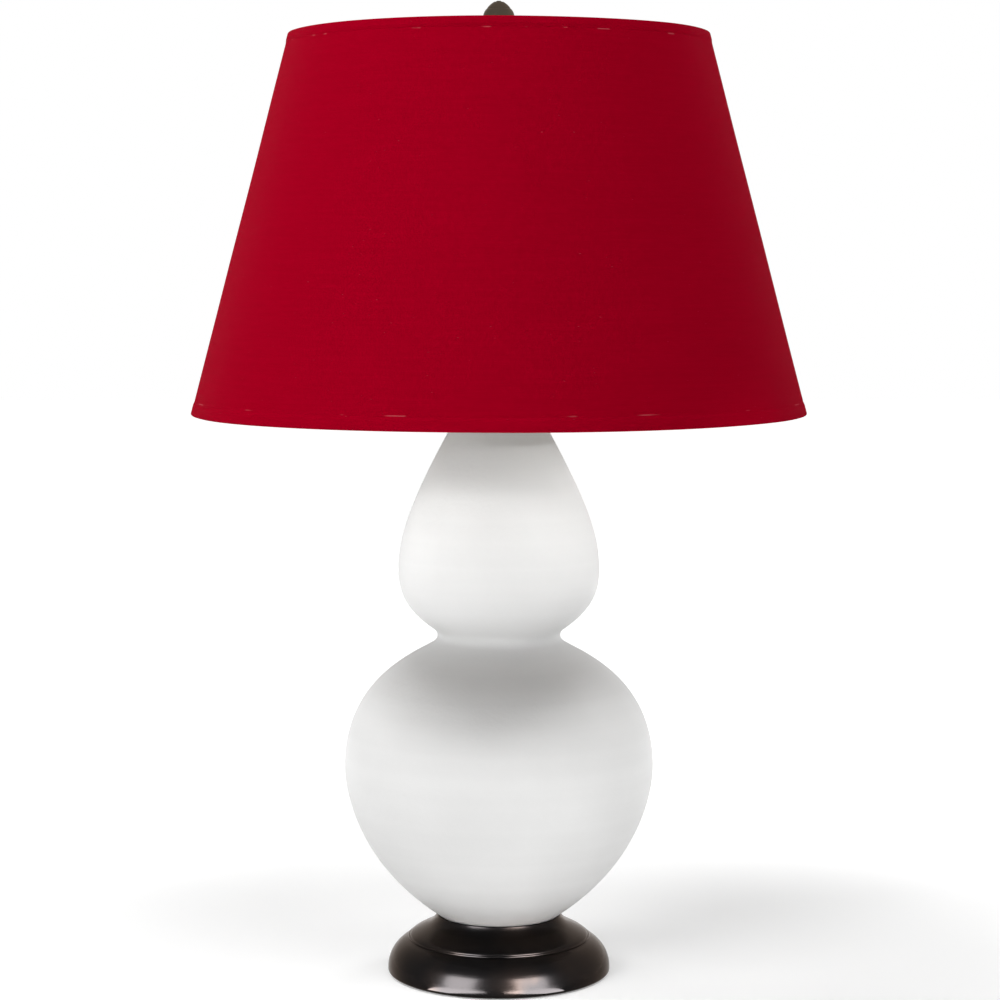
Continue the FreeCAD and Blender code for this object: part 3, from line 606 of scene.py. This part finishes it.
def lower_belly(below):
    """From the foot's flare out to the widest point and in to the groove."""
    rise, fall = belly[1] - flare[1], below[1] - belly[1]
    return (curve(flare, polar(0.721 * rise, 33, flare), (belly[0], belly[1] - 0.09 * rise), belly, 60)
            + curve(belly, (belly[0], belly[1] + 0.735 * fall),
                    polar(0.123 * fall, groove_under - 90, below), below, 60))


def upper_part(above):
    """From the groove over the upper belly and up the taper, bent there into the upright neck."""
    rise, fall = upper_belly[1] - above[1], taper[1] - upper_belly[1]
    leaning = 90 + taper_lean
    skin = curve(above, polar(0.534 * rise, 90 - groove_over, above),
                 (upper_belly[0], upper_belly[1] - 0.412 * rise), upper_belly, 40)
    skin += curve(upper_belly, (upper_belly[0], upper_belly[1] + 0.202 * fall),
                  polar(-0.682 * fall, leaning, taper), taper, 50)
    meet = taper[1] + (taper[0] - neck_radius) / math.tan(math.radians(taper_lean))
    bend = neck_bend * math.tan(math.radians(taper_lean / 2))
    return skin + swept(polar(-bend, leaning, (neck_radius, meet)), leaning, (neck_radius, meet + bend), 14)


def gourd():
    """The cast double gourd: foot ring, lower belly, groove, upper belly, taper, neck and rounded lip."""
    below = polar(groove_round, 180 + groove_under, groove)
    above = polar(groove_round, 180 - groove_over, groove)
    skin = [flare] + lower_belly(below)
    skin += arc(groove, groove_round, 180 + groove_under, 180 - groove_over, 16)[1:] + upper_part(above)
    mouth = rounded([skin[-1], (neck_radius, lip, 2.2), (mouth_bore, lip, 2.2),
                     (mouth_bore, lip - 12)], 6)[1:]
    inside = [point for point in inset(skin, gourd_wall)[::-3]
              if point[0] > mouth_bore and point[1] > foot + 9]
    floor = raised(foot, (foot_inner, 7.5), (sole_bore, 7.5))
    sole = rounded(raised(foot, (sole_bore, 2.0), (foot_inner, 2.0, 0.6), (foot_inner, 0, 1.2),
                          (foot_outer, 0, 1.4), (foot_outer, 2.6, 1.2)) + [flare])
    return turned("gourd", sole[:-1] + skin + mouth + inside + floor, 288)


use(gourd(), glaze, "lamp_body", "glaze", "gourd_body")


# ================================================================ cap, neck and harp

cap_level, boss_level = high("neck_seal"), high("vase_cap")
saddle_level, saddle_top = low("harp_saddle"), high("harp_saddle")
skirt_inner, skirt_outer, boss = 22.9, 24.5, 9.0
spacer_rim = 8.2
harp_half = 28.0
strip_half, strip_side, tongue_half = 0.9, 6.5, 1.8
shoulder_level, shoulder_round = saddle_level + 9.9, 1.0


def vase_cap():
    """The turned cap over the gourd's lip."""
    dome = swept((skirt_inner, cap_level + 1.8), 150, (boss, boss_level - 2.4), 12)
    skirt = rounded(raised(cap_level, (skirt_inner, 0), (skirt_inner, -5.0, 0.4), (skirt_outer, -5.0, 0.5),
                           (skirt_outer, 0.2)))[1:]
    brim = arc((skirt_inner, cap_level + 0.2), 1.6, 0, 90, 8)[1:]
    top = rounded([dome[-1], (boss, boss_level, 0.5), (pipe_bore, boss_level, 0.3),
                   (pipe_bore, cap_level)])[1:-1]
    floor_of_cap = [(pipe_bore, cap_level), (skirt_inner, cap_level)]
    return turned("cap", floor_of_cap + skirt + brim + dome[1:] + top, 128)


def neck_spacer():
    """The short turned tube between cap and saddle, drawn in at its middle."""
    middle = swept((spacer_rim, boss_level + 1.5), 122, (spacer_rim, saddle_level - 1.5), 18)
    foot_end = rounded([(pipe_bore, boss_level), (spacer_rim, boss_level, 0.4), middle[0]])[:-1]
    top_end = rounded([middle[-1], (spacer_rim, saddle_level, 0.4), (pipe_bore, saddle_level)])[1:]
    return turned("spacer", foot_end + middle + top_end, 96)


def ferrule(node, side):
    """A sleeve with rolled ends that locks one foot of the harp."""
    bore, sleeve, roll, roll_half = 2.32, 3.97, 0.75, 1.1
    ends = []
    for level, up in ((low(node), 1), (high(node), -1)):
        rolled = [(sleeve + roll * math.sin(a), level + up * roll_half * (1 - math.cos(a)))
                  for a in (math.radians(20 * n) for n in range(10))]
        ends.append([(bore, level + up * 0.5), (2.7, level)] + rolled)
    return moved(turned(node.replace("harp_", ""), ends[0] + ends[1][::-1], 64), (side * harp_half, 0, 0))


def saddle_side(z):
    """Half the strip's width at a height: full, rounded off at the shoulders, then the tongue's."""
    if z <= shoulder_level - shoulder_round:
        return strip_side
    if z <= shoulder_level + 0.001:
        over = z - shoulder_level + shoulder_round
        return strip_side - shoulder_round + math.sqrt(max(0.0, shoulder_round ** 2 - over ** 2))
    return tongue_half - 0.4 if z == saddle_top else tongue_half


def saddle():
    """The strip under the socket, its ends bent up and cut down to tongues, its edges broken."""
    face = harp_half + strip_half
    heights = [shoulder_level + rise for rise in (-1.6, -1.2, -0.8, -0.4, -0.1, 0.0, 0.03, 0.15, 0.4)]
    bent = rounded([(0, saddle_level), (15.0, saddle_level, 3.6), (face, saddle_level + 6.0, 3.6),
                    (face, heights[0])], 7)
    bent += [(face, z) for z in heights[1:] + [saddle_top - 0.5, saddle_top]]
    right = []
    for n, (x, z) in enumerate(inset(bent, strip_half)):
        (x0, z0), (x1, z1) = bent[max(n - 1, 0)], bent[min(n + 1, len(bent) - 1)]
        right.append((x, z, math.atan2(z1 - z0, x1 - x0), saddle_side(z)))
    strip = [(-x, z, -a, half) for x, z, a, half in right[:0:-1]] + right
    broken = ((1.0, 0.55), (0.92, 0.92), (0.88, 1.0))
    corners = [(side * across, way * over)
               for side, way, turn in ((1, 1, 1), (-1, 1, -1), (-1, -1, 1), (1, -1, -1))
               for across, over in broken[::turn]]
    points = []
    for x, z, a, half in strip:
        for across, over in corners:
            out = strip_half * over
            edge = half - (1 - abs(across)) * 3.0
            points.append((x - math.sin(a) * out, math.copysign(edge, across), z + math.cos(a) * out))
    return drilled(sectioned("saddle", points, len(corners)), pipe_bore, 8.0, (0, 0, saddle_level - 3.0))


use(washer("lip_ring", 15.6, 20.5, lip, cap_level, 0.2, 0.4), felt, "lamp_body", "felt", "neck_seal")
use(vase_cap(), neck_bronze, "lamp_body", "bronze", "vase_cap")
use(saddle(), neck_bronze, "lamp_body", "bronze", "harp_saddle")
use(neck_spacer(), neck_bronze, "lamp_body", "bronze", "neck_spacer")
use(ferrule("harp_ferrule_left", -1), neck_bronze, "ferrule_left", "bronze", "harp_ferrule_left")
use(ferrule("harp_ferrule_right", 1), neck_bronze, "ferrule_right", "bronze", "harp_ferrule_right")
dress(neck_bronze, "harp_wire")
dress(brass, "locknut", "swivel_stud", "terminal_screws", "centre_contact", "switch_stem")


# ================================================================ socket and bulb

hub_level = high("locknut")
hub, hub_bore, hub_rise = 8.4, 4.8, 9.0
sheet_brass = 0.65
shell_foot, shell_top = low("socket_shell"), high("socket_shell")
shell_radius = 18.4
key_level = (low("switch_stem") + high("switch_stem")) / 2
knob_foot, knob_face, knob_length, knob_bore = 6.4, 5.2, 13.0, 1.65
tip_level, glass_level = low("bulb_screw_cap"), high("bulb_screw_cap")
globe_top = high("bulb_globe")
screw_radius, screw_bore, screw_foot = 13.05, 11.6, tip_level + 5.4
thread_pitch, thread_depth = 3.63, 0.9
globe_radius, globe_neck, neck_rise = 30.0, 14.2, 7.0


def socket_cap():
    """The spun bell under the socket, with a rolled edge."""
    roof = hub_level + hub_rise + sheet_brass
    bell = swept((hub, hub_level + hub_rise), 0, (19.15, shell_foot), 14)
    rolled = arc((19.0, shell_foot + 4.5), 0.5, -90, 90, 8)
    inside = [(18.5, shell_foot + 5.0), (18.5, shell_foot), (15.3, shell_foot), (hub, roof), (hub_bore, roof)]
    return turned("socket_bell", rounded([(hub_bore, hub_level), (hub, hub_level, 0.5), bell[0]])[:-1] + bell
                  + rolled + inside, 128)


def socket_shell():
    """The drum with two rolled beads and a hole for the key."""
    bead_rise, bead_half = 0.7, 1.5
    bore = shell_radius - sheet_brass
    outside = [(shell_radius, shell_foot)]
    for middle in (shell_foot + 11.5, shell_top - 6.5):
        outside += [(shell_radius + bead_rise * (0.5 + 0.5 * math.cos(math.radians(20 * n))),
                     middle + bead_half * n / 9) for n in range(-9, 10)]
    outside += rounded([outside[-1], (shell_radius, shell_top, 0.3), (bore, shell_top, 0.3),
                        (bore, shell_foot)])[1:]
    return drilled(turned("socket_drum", outside, 128), 2.5, 10.0, (0, -12.0, key_level), (0, -1, 0), 32)


def flutes(r, z, degrees):
    """Grooves along the knob's side, running out before its face."""
    if r <= 4.0:
        return r, z
    groove_shape = max(0.0, math.cos(math.radians(12 * degrees))) ** 1.5
    return r - 0.75 * groove_shape * share((knob_length - z) / 1.5), z


def switch_knob():
    """The key's fluted knob, hollow at its back for the stem."""
    side = [(knob_foot + (knob_face - knob_foot) * n / 10, 0.6 + 10.8 * n / 10) for n in range(11)]
    back = rounded([(knob_bore, 0), (knob_foot, 0, 0.5), side[0]])[1:-1]
    face = rounded([side[-1], (knob_face, knob_length, 1.3), (0, 12.7)], 6)[1:]
    made = turned("key_knob", [(0, 7.0), (knob_bore, 7.0), (knob_bore, 0)] + back + side + face, 192, flutes)
    return moved(made, (0, -23.4, key_level), (0, -1, 0))


def threaded(r, z, degrees):
    """The rolled thread of the bulb's cap, running out at both ends."""
    if r < 12.5:
        return r, z
    depth = thread_depth * share((z - tip_level - 6.0) / 2.5) * share((glass_level - 2.5 - z) / 2.5)
    turns = z / thread_pitch - degrees / 360
    return r - depth * (0.5 - 0.5 * math.cos(2 * math.pi * turns)), z


def bulb_shell():
    """The bulb's screw cap, open above and below."""
    run = glass_level - 1.2 - screw_foot
    side = [(screw_radius, screw_foot + run * n / 44) for n in range(45)]
    below = rounded(raised(tip_level, (10.2, 2.9), (12.7, 4.6, 0.8)) + side[:1])[:-1]
    inside = rounded([side[-1], (screw_radius, glass_level, 0.5), (screw_bore, glass_level),
                      (screw_bore, screw_foot), (9.7, tip_level + 3.6)])[1:]
    return turned("bulb_thread", below + side + inside, 128, threaded)


def bulb_insulator():
    return turned("bulb_insulator", rounded(raised(tip_level, (0, 1.6), (4.3, 0.7, 0.4), (10.4, 2.7, 0.4),
                                                   (11.3, 6.0), (0, 6.0))), 96)


def bulb_tip():
    return turned("bulb_tip", rounded(raised(tip_level, (0, 0), (3.0, 0, 1.0), (4.2, 1.1, 0.4),
                                             (4.2, 1.8), (0, 1.8))), 64)


def envelope(glass_thick):
    """The bulb's outline from its neck to its top, set in by the glass."""
    neck, radius = globe_neck - glass_thick, globe_radius - glass_thick
    start, middle = glass_level + neck_rise, globe_top - globe_radius
    run = middle - start
    side = curve((neck, start), (neck, start + 0.4 * run), (radius, middle - 0.38 * run),
                 (radius, middle), 22)
    return [(neck, start)] + side + arc((0, middle), radius, 0, 90, 22)[1:]


def bulb_globe():
    """The frosted envelope on its neck, hollow."""
    neck = rounded(raised(glass_level, (0, 0), (globe_neck, 0, 1.6), (globe_neck, neck_rise)), 6)[:-1]
    inside = envelope(1.0)[::-1] + raised(glass_level, (globe_neck - 1.0, 1.0), (0, 1.0))
    return turned("globe", neck + envelope(0) + inside, 128)


use(socket_cap(), spun_brass, "lamp_body", "brass", "socket_cap")
use(socket_shell(), spun_brass, "lamp_body", "brass", "socket_shell")
use(switch_knob(), moulding, "switch_key", "black_plastic", "switch_knob")
use(bulb_shell(), aluminium, "bulb", "aluminium", "bulb_screw_cap")
use(bulb_insulator(), moulding, "bulb", "aluminium", "bulb_screw_cap")
use(bulb_tip(), steel, "bulb", "aluminium", "bulb_screw_cap")
use(bulb_globe(), glass, "bulb", "frosted_glass", "bulb_globe")
dress(aluminium, "screw_shell")
dress(fibre, "socket_liner")


# ================================================================ shade

top_radius, top_level = 163.6, 742.7
bottom_radius, bottom_level = 241.3, 447.8
shade_run, shade_fall = bottom_radius - top_radius, top_level - bottom_level
slant = math.hypot(shade_run, shade_fall)
tape, cloth_thick, shade_thick = 0.5, 0.6, 1.7
top_tape_width, bottom_tape_width, tape_inside = 8.0, 10.0, 9.0
wire, arm_radius, spider_plate = 1.4, 1.5, 1.5
shade_steps = 480
seam_at, seam_span = 90.0, 4.0


def on_shade(depth, along, from_top=True):
    """(radius, height) at a depth under the shade's outside and a distance along it from one edge."""
    down = (along if from_top else slant - along) / slant
    return (top_radius + shade_run * down - shade_fall / slant * depth,
            top_level - shade_fall * down - shade_run / slant * depth)


def sway(r, z, degrees):
    """How the shade strays from a true cone: a little oval, a little wavy."""
    a = math.radians(degrees)
    oval = 0.3 * math.cos(2 * a + 0.6)
    wavy = 0.5 * noise.noise(Vector((2 * math.cos(a), 2 * math.sin(a), z / 110)))
    up = 0.35 * noise.noise(Vector((1.6 * math.cos(a), 1.6 * math.sin(a), 9.3)))
    return r + oval + wavy, z + up


def layer(name, outer, inner, rows=24):
    """A cone between two depths, from fold to fold."""
    clear = tape + 0.2
    ends = [clear + (slant - 2 * clear) * n / rows for n in range(rows + 1)]
    return turned(name, [on_shade(outer, along) for along in ends]
                  + [on_shade(inner, along) for along in ends[::-1]], shade_steps, sway)


def back_seam():
    """The strip where the cover's ends overlap."""
    ends = top_tape_width + 0.6, slant / 2, slant - bottom_tape_width - 0.6
    return turned("back_seam", [on_shade(0.12, along) for along in ends]
                  + [on_shade(tape, along) for along in ends[::-1]],
                  12, sway, seam_span, seam_at - seam_span / 2)


def hem(name, width, from_top):
    """A tape of the cloth folded over one edge, glued inside and out, with small puckers."""
    back, fold = shade_thick + 2 * wire, tape + 2 * wire
    outside = rounded([(0.8 * tape, width), (0, width - 2.5, 1.5), (0, 0, 1.2), (back + tape, 0, 1.4),
                       (back + tape, fold + 0.4, 1.2), (shade_thick + tape, fold + 2.6, 0.8),
                       (shade_thick + tape, tape_inside, 0.2)])
    inside = rounded([(shade_thick, tape_inside), (shade_thick, fold + 2.2, 0.8), (back, fold, 1.0),
                      (back, tape, 0.9), (tape, tape, 0.6), (tape, width)])
    seed = 3.0 if from_top else 11.0
    inner_side = on_shade(back, 0)[0] + 3.2 if from_top else bottom_radius - 3.4

    def puckered(r, z, degrees):
        a = math.radians(degrees)
        pucker = abs(noise.noise(Vector((math.cos(a) * 26, math.sin(a) * 26, seed + z / 6))))
        depth = 0.16 * (1.0 if r < inner_side else 0.35)
        r, z = sway(r, z, degrees)
        return r - depth * pucker, z

    return turned(name, [on_shade(depth, along, from_top) for depth, along in outside + inside],
                  2 * shade_steps, puckered)


def edge_ring(name, from_top):
    """The wire ring in one folded edge."""
    r, z = on_shade(shade_thick + wire, tape + wire, from_top)
    path = []
    for degrees in range(0, 360, 2):
        rr, zz = sway(r, z, degrees)
        path.append((*polar(rr, degrees), zz))
    return rod(name, path, wire, closed=True)


def arm(n):
    """One arm of the spider, from the washer straight to the ring."""
    turn = 30 + 120 * n
    r, z = on_shade(shade_thick + wire, tape + wire)
    seat = spider_level + spider_plate + arm_radius
    near, far = Vector((*polar(11.0, turn), seat)), Vector((*polar(r - 0.5, turn), z))
    steps = [0, 0.06] + [k / 12 for k in range(2, 13)]
    return rod(f"arm_{n + 1}", [near.lerp(far, step) for step in steps], arm_radius)


spider_level = low("shade_spider")
# heights of the tape edges that carry pale frayed threads with painted glints
tape_edge_glints = ((top_level - 8.4, 0.9), (bottom_level + 10.2, 0.7))
crimson = cloth_finish("crimson_cloth", tape_edge_glints)
tape_cloth = cloth_finish("crimson_tape")

cloth = use(layer("shade_cover", tape, tape + cloth_thick), crimson, "shade", "red_cloth", "shade_cloth")
seam = use(back_seam(), crimson, "shade", "red_cloth", "shade_cloth")
use(layer("shade_liner", tape + cloth_thick, shade_thick), lining, "shade", "lining", "shade_lining")
top_hem = use(hem("top_tape", top_tape_width, True), tape_cloth, "shade", "red_cloth", "shade_top_hem")
bottom_hem = use(hem("bottom_tape", bottom_tape_width, False), tape_cloth, "shade", "red_cloth",
                 "shade_bottom_hem")
use(edge_ring("top_ring", True), ring_steel, "shade", "steel", "shade_spider")
use(edge_ring("bottom_ring", False), ring_steel, "shade", "steel", "shade_bottom_ring")
for n in range(3):
    use(arm(n), ring_steel, "shade", "steel", "shade_spider")
use(washer("spider_washer", 5.5, 16.0, spider_level, spider_level + spider_plate, 0.2, 0.5, 96),
    ring_steel, "shade", "steel", "shade_spider")


# ================================================================ finial

finial_level = low("finial")
finial_bore = 3.4


def finial():
    """The turned knob on its drawn-in neck, a groove round its top and a nub on it."""
    foot_edge, waist, brim, groove_low, groove_high, crown_top = raised(
        finial_level, (7.0, 2.6), (6.4, 14.2), (12.2, 18.2), (9.6, 24.4), (9.1, 25.0), (3.8, 29.8))
    neck = swept(foot_edge, 118, waist, 14)
    under = swept(neck[-1], 2, brim, 12)
    over = swept(under[-1], 90, groove_low, 12)
    crown = swept(groove_high, 125, crown_top, 12)
    bore = raised(finial_level, (0, 20.0), (finial_bore, 20.0))
    foot_ring = rounded(raised(finial_level, (finial_bore, 0, 0.2), (8.2, 0, 0.5), (8.2, 2.6, 0.6))
                        + neck[:1])[:-1]
    nub = rounded(crown[-1:] + raised(finial_level, (2.0, 29.8, 0.3), (2.0, 30.6, 0.4), (0, 30.6)))[1:]
    knob = under[1:] + over[1:] + raised(finial_level, (9.1, 24.5)) + crown
    return turned("top_knob", bore + foot_ring + neck + knob + nub, 128)


use(finial(), finial_bronze, "finial", "finial_bronze", "finial")


# ================================================================ floor, lights and camera

light_distance = 2.2
box_height = 0.35
glow_size = (0.6, 0.6)
glow_reach = 0.6
room_light = 0.03
camera_place, camera_aim = (0.0009, -2.100, 0.5643), (0.0009, 0, 0.3787)


def floor():
    """White paper: lit near the lamp so that it keeps the shadow, plain white further out."""
    half, level = 9000, -0.2
    made = mesh_piece("floor", [(-half, -half, level), (half, -half, level), (half, half, level),
                                (-half, half, level)], [(0, 1, 2, 3)])
    paper = Finish("white_paper", Roughness=0.9, Specular_IOR_Level=0.1, Emission_Strength=1.0)
    glow = 0.3 + paper.radius.between(0.25, 1.3) * 0.7
    paper.set(Base_Color=paper.mix(paper.noise(paper.place, 3.0), (0.78, 0.78, 0.78), (0.80, 0.80, 0.80)),
              Emission_Color=paper.mix(paper.seen_directly() * glow, (0.0, 0.0, 0.0), (1.0, 1.0, 1.0)))
    made.data.materials.append(paper.material)
    made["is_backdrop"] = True


def studio():
    """White where it is seen; what it adds to the lamps is faint."""
    world = bpy.data.worlds.new("studio")
    bpy.context.scene.world = world
    world.use_nodes = True
    room = Shading(world.node_tree)
    shown = room.seen_directly()
    background = world.node_tree.nodes["Background"]
    background.inputs["Color"].default_value = (1.0, 1.0, 1.0, 1.0)
    strength = shown + (1.0 - shown) * room_light
    world.node_tree.links.new(strength.socket, background.inputs["Strength"])


def hang(name, light, azimuth, elevation, height):
    """A light aimed at a height on the lamp's axis, from degrees to the right of the front and up."""
    made = bpy.data.objects.new(name, light)
    aim = Vector((0, 0, height))
    out, rise = polar(light_distance, elevation)
    made.location = aim + Vector((*polar(out, azimuth - 90), rise))
    made.rotation_euler = (aim - made.location).to_track_quat("-Z", "Y").to_euler()
    made.visible_camera = False
    made.visible_glossy = False
    bpy.context.scene.collection.objects.link(made)
    return made


def soft_box(name, azimuth, elevation, watts, size=(0.8, 0.2), mirrored=False):
    """A soft box that lights the lamp, or one that is only mirrored in it."""
    light = bpy.data.lights.new(name, "AREA")
    light.shape = "RECTANGLE"
    light.size, light.size_y = size
    light.energy = watts
    made = hang(name, light, azimuth, elevation, box_height)
    made.visible_diffuse = not mirrored
    made.visible_glossy = mirrored
    return made


def table_glow(name, place, watts, size=glow_size, turn=0, mirrored=False):
    """Light that comes up from the table round the lamp."""
    made = soft_box(name, 0, 0, watts, size, mirrored)
    made.location = (*place, 0.003)
    made.rotation_euler = (math.pi, 0, math.radians(turn))
    return made


def beam(name, azimuth, elevation, height, half_width, watts):
    """A narrow light whose edge falls off softly."""
    light = bpy.data.lights.new(name, "SPOT")
    light.energy = watts
    light.spot_size = 2 * math.atan(half_width / light_distance)
    light.spot_blend = 1.0
    light.shadow_soft_size = 0.04
    return hang(name, light, azimuth, elevation, height)


def window(side, azimuth, mirrors):
    """A window and its light on the table, which only the dark metal mirrors."""
    shown = [soft_box(f"window_{side}", azimuth, 9, 300, (1.3, 1.5), mirrored=True)]
    pedestal_face = Vector(polar(base_radius * MM, azimuth / 2 - 90))
    for part, away, size, watts in (("near", 0.045, (0.055, 0.085), 0.85), ("far", 0.24, (0.16, 0.28), 6.3)):
        place = pedestal_face + Vector(polar(away, azimuth - 90))
        shown.append(table_glow(f"table_{side}_{part}", place, watts, size, azimuth, mirrored=True))
    for light in shown:
        light.light_linking.receiver_collection = mirrors


def dark_metal():
    """The pieces in dark bronze, which mirror the windows."""
    mirrors = bpy.data.collections.new("mirrors_windows")
    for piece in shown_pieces():
        if any(place.material in (bronze.material, neck_bronze.material) for place in piece.material_slots):
            mirrors.objects.link(piece)
    return mirrors


floor()
studio()
soft_box("rim_left", -130, 11, 9.5)
soft_box("rim_right", 130, 11, 16.5)
soft_box("front_left", -30, 18, 11)
soft_box("front_high", 0, 60, 11)
soft_box("side_left_low", -80, 48, 11.5)
soft_box("side_left_high", -80, 54, 14.5)
soft_box("side_right_low", 80, 48, 7.5)
soft_box("side_right_high", 55, 54, 9)
table_glow("table_left", polar(glow_reach, -135), 1.0)
table_glow("table_front", polar(glow_reach, -90), 0.5)
table_glow("table_right", polar(glow_reach, -45), 0.5)

# narrow lights that lift the two bellies out of the shade's shadow
beam("upper_left", -55, 3, 0.35, 0.083, 86)
beam("upper_right", 50, 8, 0.345, 0.09, 104)
beam("upper_front", 0, 8, 0.345, 0.09, 38)
beam("lower_right", 50, 4, 0.13, 0.16, 42)
beam("lower_front", 0, 4, 0.13, 0.16, 12)

mirrors = dark_metal()
window("left", -41, mirrors)
window("right", 34, mirrors)

camera = bpy.data.objects.new("camera", bpy.data.cameras.new("camera"))
camera.location = camera_place
camera.rotation_euler = (Vector(camera_aim) - camera.location).to_track_quat("-Z", "Y").to_euler()
camera.data.lens = 96.0
camera.data.sensor_width = 36.0
scene = bpy.context.scene
scene.collection.objects.link(camera)
scene.camera = camera
scene.view_settings.view_transform = "Standard"
